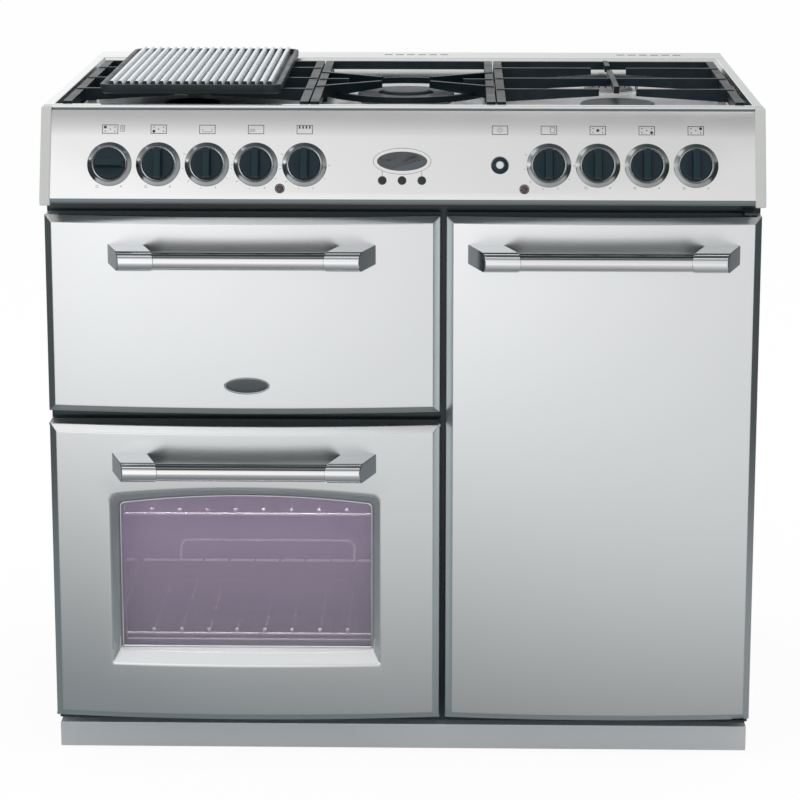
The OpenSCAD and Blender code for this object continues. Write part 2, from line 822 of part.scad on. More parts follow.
module spindle_bore(i) {
    on_face(knob_x[i], knob_drop) translate([0, 0, -spindle_in - 1])
        cylinder(r = spindle_r + run_gap, h = spindle_in + 2);
}

module clock_unit() {
    w = clock_w + 20;
    low = clock_drop - button_drop - button_r - 5;
    color([0.38, 0.42, 0.44]) on_face(0, clock_drop) {
        translate([0, 0, -1]) clock_oval(4, 0);
        difference() {
            translate([-w / 2, low, -panel_t - 26]) cube([w, clock_h / 2 + 6 - low, 26]);
            for (i = [-1:1]) translate([i * clock_pitch, clock_drop - button_drop, -panel_t - 12])
                cylinder(r = button_r + 2, h = 14);
        }
    }
}

module clock_button(i) {
    push_button(i * clock_pitch, button_drop, button_r, 1.7, [0.13, 0.15, 0.17]);
}

// A button that stands out of the panel, with a flange behind that keeps it in
module push_button(x, drop, r, out, tint) {
    color(tint) on_face(x, drop) {
        translate([0, 0, -panel_t - 3]) cylinder(r = r, h = panel_t + 3 + out);
        translate([0, 0, -panel_t - 0.3 - 2]) cylinder(r = r + 1.4, h = 2);
    }
}

module ignition_button() {
    push_button(ignition_x, knob_drop, ignition_r, 2.6, [0.92, 0.93, 0.93]);
}

module indicator_lamps() {
    color([0.35, 0.10, 0.10]) for (side = [-1, 1]) on_face(side * lamp_x, lamp_drop) {
        translate([0, 0, -18]) cylinder(r = lamp_r, h = 18);
        rotate_extrude() polygon([[0, 0], [lamp_r + 1, 0], [lamp_r + 1, 0.8], [lamp_r - 1, 2], [0, 2.4]]);
        translate([0, 0, -panel_t - 3]) cylinder(r = lamp_r + 2, h = 3);
    }
}

// Doors

// Distance of a bowed front ahead of the door edge, at u from the door's centre
function bow(u, half) = (half * half - u * u) / (2 * bow_r);

module door_plan(half, cut, ahead, back) {
    polygon(concat(
        [for (i = [0:bow_steps])
            let (u = -(half - cut) + i * 2 * (half - cut) / bow_steps) [u, -bow(u, half) - ahead]],
        [[half - cut, back], [-(half - cut), back]]
    ));
}

// A solid door: a full-size edge and a smaller face in front of it, both bowed
module door_slab(d, inset, back) {
    half = (d[1] - d[0]) / 2;
    h = d[3] - d[2];
    translate([(d[0] + d[1]) / 2, door_y + inset, d[2]]) hull() {
        translate([0, 0, inset]) linear_extrude(h - 2 * inset) door_plan(half, inset, 0, back);
        translate([0, 0, bevel_w + inset / 2]) linear_extrude(h - 2 * bevel_w - inset)
            door_plan(half, bevel_w + inset / 2, bevel_d, back);
    }
}

module door_shell(d) {
    back = door_t - liner_t;
    difference() {
        door_slab(d, 0, back);
        intersection() {
            door_slab(d, skin_t, back);
            box(d[0], d[1], door_y - 60, liner_y - sheet_t, d[2], d[3]);
        }
        box(d[0] + flange_w, d[1] - flange_w, liner_y - sheet_t - 4, liner_y + 1,
            d[2] + flange_w, d[3] - flange_w);
    }
}

module door_liner(d) {
    box(d[0] + liner_inset, d[1] - liner_inset, liner_y, liner_y + liner_t,
        d[2] + liner_inset, d[3] - liner_inset);
}

function hinge_places(d) = [d[0] + hinge_side, d[1] - hinge_side];

// Clearance in the skin of a drop-down door for its hinges
module hinge_notches(d) {
    wide = slot_w / 2 + cheek_t + 1;
    for (x = hinge_places(d)) box(x - wide, x + wide, drop_pivot_y + neck_low - 0.5, liner_y + 1,
        d[2] - 1, d[2] + drop_pivot_up + 8);
}

module drop_liner(d) {
    pz = d[2] + drop_pivot_up;
    difference() {
        union() {
            door_liner(d);
            for (x = hinge_places(d)) for (side = [-1, 1]) {
                x0 = side > 0 ? x + slot_w / 2 : x - slot_w / 2 - cheek_t;
                box(x0, x0 + cheek_t, drop_pivot_y - hinge_eye_r + 1.5, liner_y + 1,
                    pz - hinge_eye_r + 1, pz + hinge_eye_r);
            }
        }
        for (x = hinge_places(d)) box(x - slot_w / 2, x + slot_w / 2, liner_y - 1, liner_y + liner_t + 1,
            d[2], pz + hinge_eye_r + 1.5);
    }
    for (x = hinge_places(d))
        rod_x(x - slot_w / 2 - cheek_t, x + slot_w / 2 + cheek_t, drop_pivot_y, pz, pin_r);
}

module drop_bracket(d) {
    pz = d[2] + drop_pivot_up;
    for (x = hinge_places(d)) difference() {
        union() {
            rod_x(x - hinge_t / 2, x + hinge_t / 2, drop_pivot_y, pz, hinge_eye_r);
            box(x - hinge_t / 2, x + hinge_t / 2, drop_pivot_y, frame_y, pz + neck_low, pz + hinge_eye_r);
        }
        rod_x(x - hinge_t, x + hinge_t, drop_pivot_y, pz, pin_r + run_gap);
    }
}

module hinge_brackets() {
    lug_t = 3;
    lug_half = 8;
    tx = tall_pivot[0];
    ty = tall_pivot[1];
    color([0.70, 0.71, 0.72]) {
        drop_bracket(grill_door);
        drop_bracket(main_door);
        box(tx - lug_half, tx + lug_half, ty - lug_half, frame_y,
            tall_door[3] + lug_gap, tall_door[3] + lug_gap + lug_t);
        rod_z(tx, ty, tall_door[3] - pivot_in, tall_door[3] + lug_gap + eps, tall_pin_r);
        box(tx - lug_half, tx + lug_half, ty - lug_half, frame_y,
            tall_door[2] - lug_gap - lug_t, tall_door[2] - lug_gap);
        rod_z(tx, ty, tall_door[2] - lug_gap - eps, tall_door[2] + pivot_in, tall_pin_r);
    }
}

// A bar between two brackets that lean inwards; the brackets end on the door's face
module door_handle(d, tint) {
    cx = (d[0] + d[1]) / 2;
    z = d[3] - handle_drop;
    y = door_y - bar_reach;
    root = handle_w / 2;
    tip = root - bracket_lean;
    color(tint) {
        difference() {
            for (side = [-1, 1]) hull() {
                box(cx + min(side * root, side * (root - bracket_w)),
                    cx + max(side * root, side * (root - bracket_w)),
                    door_y - 12, door_y - 6, z - collar_r, z + collar_r);
                rod_x(cx + min(side * tip, side * (tip - bracket_w)),
                    cx + max(side * tip, side * (tip - bracket_w)), y, z, collar_r);
            }
            door_slab(d, 0, door_t);
        }
        rod_x(cx - tip + bracket_w - 1, cx + tip - bracket_w + 1, y, z, bar_r);
    }
}

module grill_door_panel() {
    color([0.84, 0.85, 0.86]) difference() {
        door_shell(grill_door);
        hinge_notches(grill_door);
    }
}

module grill_door_liner() {
    color([0.50, 0.51, 0.53]) drop_liner(grill_door);
}

module grill_door_handle() {
    door_handle(grill_door, [0.72, 0.73, 0.74]);
}

// Outline of the window with an arched top, grown by side and by low
module arch(side, low) {
    w = window_w / 2 + side;
    top = window_h + low;
    rise = window_rise * w / (window_w / 2);
    steps = 12;
    polygon(concat(
        [[-w, -low], [w, -low]],
        [for (i = [0:steps]) let (u = w - i * 2 * w / steps) [u, top + rise * (1 - u * u / (w * w))]]
    ));
}

// Stands a window outline in the door, from y0 to y1
module window_prism(side, low, y0, y1) {
    translate([left_cx, y1, main_door[2] + window_up]) rotate([90, 0, 0])
        linear_extrude(y1 - y0) arch(side, low);
}

module recess(grow) {
    face = door_y - bow(0, left_door_w / 2) - bevel_d;
    hull() {
        window_prism(recess_side + grow, recess_low + grow, face - 3, face);
        window_prism(grow, grow, door_y + glass_depth - 0.5, door_y + glass_depth);
    }
}

module main_door_panel() {
    pane_y = door_y + glass_depth;
    color([0.70, 0.71, 0.72]) difference() {
        union() {
            door_shell(main_door);
            intersection() {
                door_slab(main_door, 0, door_t - liner_t);
                recess(7);
            }
        }
        recess(0);
        window_prism(0, 0, pane_y - 1, pane_y + 1);
        hinge_notches(main_door);
    }
}

module main_door_liner() {
    color([0.50, 0.51, 0.53]) difference() {
        drop_liner(main_door);
        window_prism(-4, -4, liner_y - 1, liner_y + liner_t + 1);
    }
}

module main_door_glass() {
    color([0.42, 0.38, 0.44, 0.6]) {
        window_prism(6, 6, door_y + glass_depth, door_y + glass_depth + glass_t);
        window_prism(6, 6, liner_y - glass_t, liner_y);
    }
}

module window_trim() {
    pane_y = door_y + glass_depth;
    color([0.85, 0.85, 0.84]) difference() {
        window_prism(-0.3, -0.3, pane_y - 1.5, pane_y);
        window_prism(-trim_w, -trim_w, pane_y - 2, pane_y + 1);
    }
}

module main_door_handle() {
    door_handle(main_door, [0.72, 0.73, 0.74]);
}

module tall_door_panel() {
    tx = tall_pivot[0];
    ty = tall_pivot[1];
    color([0.72, 0.73, 0.73]) difference() {
        door_shell(tall_door);
        rod_z(tx, ty, tall_door[2] - 1, tall_door[2] + pivot_in, tall_pin_r + 1);
        rod_z(tx, ty, tall_door[3] - pivot_in, tall_door[3] + 1, tall_pin_r + 1);
        for (z = [tall_door[2] + skin_t, tall_door[3] - pivot_in - 2])
            box(tx - 11, tx + tall_pivot_side - skin_t, liner_y - sheet_t - 1, liner_y + 1,
                z, z + pivot_in + 2 - skin_t);
    }
}

module tall_door_liner() {
    tx = tall_pivot[0];
    ty = tall_pivot[1];
    clear = skin_t + 3;
    blocks = [
        [tall_door[2] + clear, tall_door[2] + pivot_in - 1],
        [tall_door[3] - pivot_in + 1, tall_door[3] - clear]
    ];
    color([0.50, 0.51, 0.53]) difference() {
        union() {
            door_liner(tall_door);
            for (b = blocks) box(tx - 9, tx + 8, ty - tall_pin_r - 3, liner_y + 1, b[0], b[1]);
        }
        rod_z(tx, ty, tall_door[2], tall_door[2] + pivot_in + 1, tall_pin_r + run_gap);
        rod_z(tx, ty, tall_door[3] - pivot_in - 1, tall_door[3], tall_pin_r + run_gap);
    }
}

module tall_door_handle() {
    door_handle(tall_door, [0.72, 0.73, 0.74]);
}

module door_seals() {
    color([0.12, 0.12, 0.13]) for (c = [grill_cavity_box, main_cavity_box, tall_cavity_box]) {
        a = 4;
        b = 4 + seal_w;
        difference() {
            box(c[0] - c[2] / 2 - b, c[0] + c[2] / 2 + b, frame_y - seal_t, frame_y,
                c[1] - b, c[1] + c[3] + b);
            box(c[0] - c[2] / 2 - a, c[0] + c[2] / 2 + a, frame_y - seal_t - 1, frame_y + 1,
                c[1] - a, c[1] + c[3] + a);
        }
    }
}

// Ovens

module cavity(c, shaft_z) {
    t = cavity_t;
    x0 = c[0] - c[2] / 2;
    x1 = c[0] + c[2] / 2;
    color([0.22, 0.22, 0.25]) difference() {
        box(x0 - t, x1 + t, frame_back, cavity_y1 + t, c[1] - t, c[1] + c[3] + t);
        box(x0, x1, frame_back - 1, cavity_y1, c[1], c[1] + c[3]);
        if (shaft_z > 0) rod_y(c[0], cavity_y1 - 1, cavity_y1 + t + 1, shaft_z, shaft_r + 1);
    }
}

module grill_cavity() {
    cavity(grill_cavity_box, 0);
}

module main_oven_cavity() {
    cavity(main_cavity_box, main_fan_z);
}

module tall_oven_cavity() {
    cavity(tall_cavity_box, tall_fan_z);
}

module heating_elements() {
    ring_r = fan_r + 14;
    rod_r = 3.5;
    grill_z = grill_floor_h + grill_h - 22;
    roof = grill_floor_h + grill_h;
    span = cavity_w - 90;
    loops = 6;
    y0 = frame_back + 60;
    y1 = cavity_y1 - 60;
    color([0.20, 0.19, 0.20]) {
        for (f = fans) {
            translate([f[0], cavity_y1 - fan_space / 2, f[1]]) rotate([90, 0, 0])
                rotate_extrude() translate([ring_r, 0]) circle(r = rod_r);
            for (side = [-1, 1])
                rod_y(f[0] + side * 12, cavity_y1 - fan_space / 2, cavity_y1, f[1] + ring_r, rod_r - 0.5);
        }
        for (i = [0:loops]) box(left_cx - span / 2 + i * span / loops - rod_r,
            left_cx - span / 2 + i * span / loops + rod_r, y0, y1, grill_z - rod_r, grill_z + rod_r);
        for (i = [0:loops - 1]) box(left_cx - span / 2 + i * span / loops,
            left_cx - span / 2 + (i + 1) * span / loops, i % 2 == 0 ? y1 - 2 * rod_r : y0,
            i % 2 == 0 ? y1 : y0 + 2 * rod_r, grill_z - rod_r, grill_z + rod_r);
        for (y = [y0 + 40, y1 - 40]) {
            box(left_cx - span / 2 - 6, left_cx + span / 2 + 6, y, y + 3, grill_z, grill_z + 8);
            for (x = [left_cx - span / 2 - 6, left_cx + span / 2 + 3])
                box(x, x + 3, y, y + 3, grill_z, roof);
        }
    }
}

module fan_covers() {
    half = fan_r + 30;
    y0 = cavity_y1 - fan_space - 2;
    color([0.30, 0.30, 0.32]) for (f = fans) difference() {
        union() {
            box(f[0] - half, f[0] + half, y0, y0 + cavity_t, f[1] - half, f[1] + half);
            for (x = [f[0] - half, f[0] + half - 6]) for (z = [f[1] - half, f[1] + half - 6])
                box(x, x + 6, y0, cavity_y1, z, z + 6);
        }
        for (i = [0:11]) translate([f[0], 0, f[1]]) rotate([0, i * 30, 0])
            rod_y(fan_r * 0.55, y0 - 1, y0 + cavity_t + 1, 0, 8);
        rod_y(f[0], y0 - 1, y0 + cavity_t + 1, f[1], 14);
    }
}

module oven_fan(f) {
    blades = 12;
    hub_y = cavity_y1 - fan_space + 8;
    color([0.55, 0.56, 0.57]) {
        rod_y(f[0], hub_y, hub_y + 22, f[1], 12);
        rod_y(f[0], hub_y + 20, hub_y + 22, f[1], fan_r - 4);
        rod_y(f[0], hub_y + 21, cavity_y1 + cavity_t + 24, f[1], shaft_r);
        for (i = [0:blades - 1]) translate([f[0], 0, f[1]]) rotate([0, (i + 0.5) * 360 / blades, 0])
            translate([fan_r - 26, hub_y, -0.8]) cube([24, 21, 1.6]);
    }
}

module main_oven_fan() {
    oven_fan(fans[0]);
}

module tall_oven_fan() {
    oven_fan(fans[1]);
}

module fan_motors() {
    y0 = cavity_y1 + cavity_t;
    color([0.40, 0.41, 0.43]) for (f = fans) difference() {
        union() {
            rod_y(f[0], y0, y0 + 48, f[1], 32);
            box(f[0] - 48, f[0] + 48, y0, y0 + 3, f[1] - 12, f[1] + 12);
        }
        rod_y(f[0], y0 - 1, y0 + 28, f[1], shaft_r + run_gap);
    }
}

// Stamped side racks: a plate on each cavity wall, with a ledge under each shelf
module runners(c, levels) {
    for (side = [-1, 1]) {
        wall = c[0] + side * c[2] / 2;
        box(min(wall, wall - side * runner_t), max(wall, wall - side * runner_t),
            shelf_y0, shelf_y1, min(levels) - 30, max(levels) + 20);
        for (z = levels) box(min(wall, wall - side * ledge_w), max(wall, wall - side * ledge_w),
            shelf_y0, shelf_y1, z - 3, z);
    }
}

module shelf_runners() {
    color([0.66, 0.67, 0.68]) {
        runners(grill_cavity_box, [grill_pan_z]);
        runners(main_cavity_box, main_shelves);
        runners(tall_cavity_box, tall_shelves);
    }
}

// A wire shelf that rests on its ledges
module shelf(c, z) {
    wire = 4;
    x0 = c[0] - c[2] / 2 + runner_t + shelf_side;
    x1 = c[0] + c[2] / 2 - runner_t - shelf_side;
    wires = 9;
    step = (x1 - x0 - wire) / wires;
    for (i = [0:wires]) box(x0 + i * step, x0 + i * step + wire, shelf_y0, shelf_y1, z, z + wire);
    for (y = [shelf_y0, (shelf_y0 + shelf_y1) / 2, shelf_y1 - wire]) box(x0, x1, y, y + wire, z, z + wire);
}

module main_oven_shelves() {
    color([0.72, 0.73, 0.74]) for (z = main_shelves) shelf(main_cavity_box, z);
}

module tall_oven_shelves() {
    color([0.72, 0.73, 0.74]) for (z = tall_shelves) shelf(tall_cavity_box, z);
}

module grill_pan() {
    wall = 2;
    deep = 40;
    lip = 3;
    x0 = left_cx - cavity_w / 2 + ledge_w + 2;
    x1 = left_cx + cavity_w / 2 - ledge_w - 2;
    edge = ledge_w - runner_t - 1;
    y0 = shelf_y0 + 4;
    y1 = shelf_y1 - pan_short;
    color([0.14, 0.14, 0.16]) difference() {
        union() {
            box(x0, x1, y0, y1, grill_pan_z - deep, grill_pan_z + lip);
            box(x0 - edge, x1 + edge, y0, y1, grill_pan_z, grill_pan_z + lip);
        }
        box(x0 + wall, x1 - wall, y0 + wall, y1 - wall, grill_pan_z - deep + wall, grill_pan_z + lip + 1);
    }
}

// Rear services: a threaded gas inlet and a terminal box with a cable gland

module rear_connections() {
    gland_out = 12;
    box_w = 90;
    box_h = 70;
    box_d = 20;
    color([0.35, 0.35, 0.37]) {
        rod_y(gas_x, back_y - sheet_t, back_y + inlet_out, gas_z, inlet_r);
        difference() {
            union() {
                box(gland_x - box_w / 2, gland_x + box_w / 2, back_y, back_y + box_d,
                    gland_z, gland_z + box_h);
                rod_z(gland_x, back_y + 11, gland_z - gland_out, gland_z + 1, gland_r + 3);
            }
            box(gland_x - box_w / 2 + 2, gland_x + box_w / 2 - 2, back_y - 1, back_y + box_d - 2,
                gland_z + 2, gland_z + box_h - 2);
            rod_z(gland_x, back_y + 11, gland_z - gland_out - 1, gland_z + 3, gland_r);
        }
    }
}

base_frame();
side_panels();
back_panel();
front_frame();
plinth();
levelling_feet();
hob_top();
rear_vent_trim();
control_panel();
panel_end_caps();
knob_bezels();
control_valves();
clock_unit();
indicator_lamps();
knob(0, 90);  // knob_1
knob(1, 0);  // knob_2
knob(2, 0);  // knob_3
knob(3, 0);  // knob_4
knob(4, 0);  // knob_5
knob(5, 0);  // knob_6
knob(6, 0);  // knob_7
knob(7, 0);  // knob_8
knob(8, 0);  // knob_9
clock_button(-1);  // clock_button_1
clock_button(0);  // clock_button_2
clock_button(1);  // clock_button_3
ignition_button();
burner_bodies();
burner_crowns();
burner_caps();
pan_support_left();
pan_support_centre();
pan_support_right();
griddle();
grill_cavity();
main_oven_cavity();
tall_oven_cavity();
heating_elements();
fan_covers();
fan_motors();
main_oven_fan();
tall_oven_fan();
shelf_runners();
grill_pan();
main_oven_shelves();
tall_oven_shelves();
door_seals();
hinge_brackets();
rear_connections();
grill_door_panel();
grill_door_liner();
grill_door_handle();
main_door_panel();
main_door_liner();
main_door_glass();
window_trim();
main_door_handle();
tall_door_panel();
tall_door_liner();
tall_door_handle();
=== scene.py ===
# %% [markdown]
# A dual fuel range cooker
# ========================
# The CAD model gives every piece its place. This lesson dresses it: pressed and brushed steel doors, cast iron,
# enamel, wire shelves, glass and small prints. Each cell makes one piece or one finish, and prints what it made.

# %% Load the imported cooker
import json
import math

import bmesh
import bpy
from mathutils import Matrix, Vector


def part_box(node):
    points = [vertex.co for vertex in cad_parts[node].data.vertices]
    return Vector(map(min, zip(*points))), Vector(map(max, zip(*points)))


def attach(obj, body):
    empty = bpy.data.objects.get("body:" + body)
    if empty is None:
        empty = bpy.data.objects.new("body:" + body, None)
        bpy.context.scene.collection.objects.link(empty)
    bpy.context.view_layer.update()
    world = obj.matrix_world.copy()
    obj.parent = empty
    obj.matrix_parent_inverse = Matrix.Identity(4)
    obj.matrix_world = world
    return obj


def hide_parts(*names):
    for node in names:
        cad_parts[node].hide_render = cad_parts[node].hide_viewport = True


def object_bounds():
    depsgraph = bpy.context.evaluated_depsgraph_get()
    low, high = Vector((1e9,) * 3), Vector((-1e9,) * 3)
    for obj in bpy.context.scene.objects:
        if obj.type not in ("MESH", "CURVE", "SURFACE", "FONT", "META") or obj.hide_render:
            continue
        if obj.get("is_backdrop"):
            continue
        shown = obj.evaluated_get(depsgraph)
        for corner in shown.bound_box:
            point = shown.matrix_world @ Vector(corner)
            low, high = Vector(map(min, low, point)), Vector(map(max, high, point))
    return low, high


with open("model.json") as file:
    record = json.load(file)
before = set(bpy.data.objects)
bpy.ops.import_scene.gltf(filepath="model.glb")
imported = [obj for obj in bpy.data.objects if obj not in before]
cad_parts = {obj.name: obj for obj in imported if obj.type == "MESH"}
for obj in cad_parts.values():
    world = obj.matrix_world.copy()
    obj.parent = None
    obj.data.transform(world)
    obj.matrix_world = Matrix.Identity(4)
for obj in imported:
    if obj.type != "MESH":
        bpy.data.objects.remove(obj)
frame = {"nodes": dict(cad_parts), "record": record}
cad_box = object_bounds()
MM = 0.001
scene = bpy.context.scene
record = frame["record"]
body_of = {node: body for body, nodes in record["behaviour"]["bodies"].items() for node in nodes}
slot_of = {part["node"]: part["material_slot"] for part in record["subparts"]}
print(len(frame["nodes"]), "nodes, box", [round(v, 4) for corner in cad_box for v in corner])

# %% [markdown]
# The camera stands a little above the hob and a good way off, with a long lens, as a catalogue photographer would
# stand. Its axes are built from two angles, so that the upright edges of the doors stay nearly parallel.

# %% Camera
YAW, PITCH = -0.0208, 0.2082
CAMERA_AT, LENS, SHIFT = (0.0686, -3.7091, 1.3059), 125.55, -0.1
c, s, cp, sp = math.cos(YAW), math.sin(YAW), math.cos(PITCH), math.sin(PITCH)
camera_axes = Matrix(((c, sp * s, -cp * s), (-s, sp * c, -cp * c), (0, cp, sp))).to_4x4()
camera = bpy.data.objects.new("camera", bpy.data.cameras.new("camera"))
camera.data.sensor_fit = "HORIZONTAL"
camera.data.sensor_width = 36
camera.data.lens = LENS
camera.data.shift_y = SHIFT
camera.matrix_world = Matrix.Translation(CAMERA_AT) @ camera_axes
scene.collection.objects.link(camera)
scene.camera = camera
scene.view_settings.view_transform = "Standard"
print("camera at", [round(v, 3) for v in camera.location])

# %% [markdown]
# A material is a tree of nodes. These helpers add one node at a time: an input is given a value, or it is linked
# from another node's output, so a whole tree reads like a sum.

# %% Node helpers
def new_material(name):
    """A material with an empty node tree."""
    material = bpy.data.materials.new(name)
    material.use_nodes = True
    material.node_tree.nodes.clear()
    return material, material.node_tree


def plug(tree, socket, value):
    """Gives an input a value, or links it from another node's output."""
    if isinstance(value, bpy.types.NodeSocket):
        tree.links.new(value, socket)
    else:
        socket.default_value = value


def add_node(tree, kind, *plugs, settings=None, **named):
    """A node with some of its settings, and its inputs in order or by name."""
    node = tree.nodes.new("ShaderNode" + kind)
    for key, value in (settings or {}).items():
        setattr(node, key, value)
    for socket, value in zip(node.inputs, plugs):
        plug(tree, socket, value)
    for key, value in named.items():
        plug(tree, node.inputs[key.replace("_", " ")], value)
    return node


def calculate(tree, operation, *plugs, clamp=False):
    """The result of a Math node."""
    settings = {"operation": operation, "use_clamp": clamp}
    return add_node(tree, "Math", *plugs, settings=settings).outputs[0]


def remap(tree, value, from_min, from_max, to_min=0.0, to_max=1.0, kind="LINEAR"):
    """A value carried from one range to another, and held at the ends."""
    return add_node(tree, "MapRange", value, from_min, from_max, to_min, to_max,
                    settings={"interpolation_type": kind}).outputs[0]


def ramp(tree, value, start, end, between):
    """A colour that runs from start to end through stops of (position, colour)."""
    node = add_node(tree, "ValToRGB", value)
    stops = node.color_ramp.elements
    stops[0].color, stops[1].color = start, end
    for position, colour in between:
        stops.new(position).color = colour
    return node.outputs[0]


def grey(value):
    """A written value from 0 to 255 as the light it stands for."""
    v = value / 255
    return v / 12.92 if v <= 0.04045 else ((v + 0.055) / 1.055) ** 2.4


def tint(r, g, b):
    """A written colour as the light it stands for."""
    return (grey(r), grey(g), grey(b), 1)


print("white is", tint(255, 255, 255))

# %% [markdown]
# Steel shows its surroundings, so the studio matters more than the lamps. The camera sees a white floor, also
# through glass. Steel mirrors another one, which is a paler grey the further it is from the cooker: that is what
# makes a flat upright door fade from light at its top to grey at its foot.

# %% Floor
def stage_sheet(name, half, place, paint):
    """A flat sheet of the studio, which is no part of the cooker."""
    mesh = bpy.data.meshes.new(name)
    bm = bmesh.new()
    bmesh.ops.create_grid(bm, x_segments=1, y_segments=1, size=half, matrix=place)
    bm.to_mesh(mesh)
    bm.free()
    mesh.materials.append(paint)
    sheet = bpy.data.objects.new(name, mesh)
    scene.collection.objects.link(sheet)
    sheet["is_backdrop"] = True
    return sheet


def seen_directly(tree, rays):
    """1 for what the camera sees, also through glass."""
    return calculate(tree, "MAXIMUM", rays["Is Camera Ray"], rays["Is Transmission Ray"])


floor_paint, tree = new_material("floor_paint")
rays = add_node(tree, "LightPath").outputs
where = add_node(tree, "SeparateXYZ", add_node(tree, "TexCoord").outputs["Object"]).outputs
away = remap(tree, where["Y"], -0.3, -5.0)
# Close to the cooker the floor is lighter on the right, far away it is lighter on the left
near = remap(tree, away, 0.2, 0.42, 1.0, 0.0)
across = remap(tree, where["X"], -0.75, 0.9, -0.075, 0.07)
greys = ((0.05, 144), (0.15, 177), (0.3, 216), (0.45, 242), (0.6, 252))
shade = ramp(tree, calculate(tree, "MULTIPLY_ADD", across, near, away), tint(118, 126, 129), tint(255, 255, 255),
             [(position, tint(v - 1, v + 1, v + 2)) for position, v in greys])
far_side = remap(tree, where["X"], -1.4, 1.5, 1.08, 0.76)
strength = add_node(tree, "Mix", near, settings={"data_type": "FLOAT"}, A=far_side, B=1.0)
matt = add_node(tree, "BsdfDiffuse", (0.86, 0.86, 0.86, 1))
white = add_node(tree, "Emission", (1, 1, 1, 1), 1.03)
mirrored = add_node(tree, "Emission", shade, strength.outputs[0])
# A little of the matt floor stays in what the camera sees, for the cooker's shadow
pale = add_node(tree, "MixShader", calculate(tree, "MULTIPLY", seen_directly(tree, rays), 0.91),
                matt.outputs[0], white.outputs[0])
whole = add_node(tree, "MixShader", rays["Is Glossy Ray"], pale.outputs[0], mirrored.outputs[0])
add_node(tree, "OutputMaterial", Surface=whole.outputs[0])
floor = stage_sheet("floor", 20, Matrix(), floor_paint)
print(floor.name, "reaches", max(v.co.x for v in floor.data.vertices), "m")

# %% [markdown]
# The room gives an even light of its own. Steel sees another room, white at the horizon and dark at the ceiling and
# a little darker to the right, so that a leaning or bowed sheet shades from light to dark.

# %% Room light
room = bpy.data.worlds.new("studio")
scene.world = room
room.use_nodes = True
tree = room.node_tree
tree.nodes.clear()
rays = add_node(tree, "LightPath").outputs
where = add_node(tree, "SeparateXYZ", add_node(tree, "TexCoord").outputs["Generated"]).outputs
greys = ((0.43, 1.0), (0.5, 0.86), (0.6, 0.62), (0.74, 0.37), (0.87, 0.21))
height = ramp(tree, where["Z"], (1, 1, 1, 1), (0.15, 0.18, 0.185, 1),
              [(position, (v * 0.99, v, v, 1)) for position, v in greys])
soft = add_node(tree, "Background", (0.80, 0.81, 0.82, 1), 0.85)
mirrored = add_node(tree, "Background", height, remap(tree, where["X"], -0.14, 0.12, 1.03, 0.68))
plain = add_node(tree, "Background", (1, 1, 1, 1), 1.0)
indirect = add_node(tree, "MixShader", rays["Is Glossy Ray"], soft.outputs[0], mirrored.outputs[0])
whole = add_node(tree, "MixShader", seen_directly(tree, rays), indirect.outputs[0], plain.outputs[0])
add_node(tree, "OutputWorld", Surface=whole.outputs[0])
print(room.name, "has", len(tree.nodes), "nodes")

# %% [markdown]
# One large lamp hangs above and in front, another above the back, and a weaker one stands to the left. Two strips
# in the main oven, one over each shelf, light its wires, which would be black behind the glass. Two dark cards,
# which only reflections see, stand beside the cooker: they give every bevel that faces sideways its dark line.

# %% Lamps and cards
LAMPS = {  # where it hangs, where it points, its two sides in metres, and its power in watts
    "key_lamp": ((-0.4, -1.64, 3.4), (-0.1, -0.3, 0.4), (3.4, 0.7), 8.5),
    "top_lamp": ((0.0, 0.9, 3.0), (0.0, 0.0, 0.8), (2.0, 1.2), 9),
    "oven_lamp": ((-0.2, -0.213, 0.392), (-0.2, -0.2, 0.1), (0.34, 0.02), 0.42),
    "low_oven_lamp": ((-0.2, -0.2, 0.235), (-0.2, -0.206, 0.1), (0.34, 0.02), 0.26),
    "side_lamp": ((-3.0, -2.0, 1.6), (0.0, 0.0, 0.5), (1.4, 1.8), 9),
}
for name, (stand, target, sides, watts) in LAMPS.items():
    lamp = bpy.data.lights.new(name, "AREA")
    lamp.shape = "RECTANGLE"
    lamp.size, lamp.size_y = sides
    lamp.energy = watts
    holder = bpy.data.objects.new(name, lamp)
    aim = (Vector(target) - Vector(stand)).to_track_quat("-Z", "Y").to_matrix().to_4x4()
    holder.matrix_world = Matrix.Translation(stand) @ aim
    holder.visible_camera = False
    scene.collection.objects.link(holder)

CARD_AT, CARD_TALL, CARD_LONG = (1.6, -0.3, 0.75), 1.5, 3.0
card_paint, tree = new_material("card_paint")
dark = add_node(tree, "Emission", (0.055, 0.065, 0.066, 1), 1.0)
add_node(tree, "OutputMaterial", Surface=dark.outputs[0])
for side in (-1, 1):
    upright = (Matrix.Translation((side * CARD_AT[0], *CARD_AT[1:])) @ Matrix.Rotation(math.pi / 2, 4, "Y")
               @ Matrix.Diagonal((CARD_TALL, CARD_LONG, 1, 1)))
    card = stage_sheet(f"card_{side}", 0.5, upright, card_paint)
    card.visible_camera = card.visible_diffuse = card.visible_shadow = card.visible_transmission = False
print(len(LAMPS), "lamps and two cards")

# %% [markdown]
# Some effects belong to several finishes, so each is a node group with named inputs: the fine lines of brushed
# steel, the uneven touch of a wiped surface, the skin of cast iron, the fine dots of enamel, a paler colour on sharp
# edges, which is a painted highlight, and a fade with height. All of them read Object coordinates, in metres, so a
# scale of 1000 means one millimetre.

# %% Shared effects
def effect(name, **inputs):
    """A node group with named inputs: the group, what it is given, and the place on the piece."""
    group = bpy.data.node_groups.new(name, "ShaderNodeTree")
    for label, default in inputs.items():
        kind = "NodeSocketVector" if isinstance(default, tuple) else "NodeSocketFloat"
        group.interface.new_socket(label, in_out="INPUT", socket_type=kind).default_value = default
    return group, group.nodes.new("NodeGroupInput").outputs, add_node(group, "TexCoord").outputs["Object"]


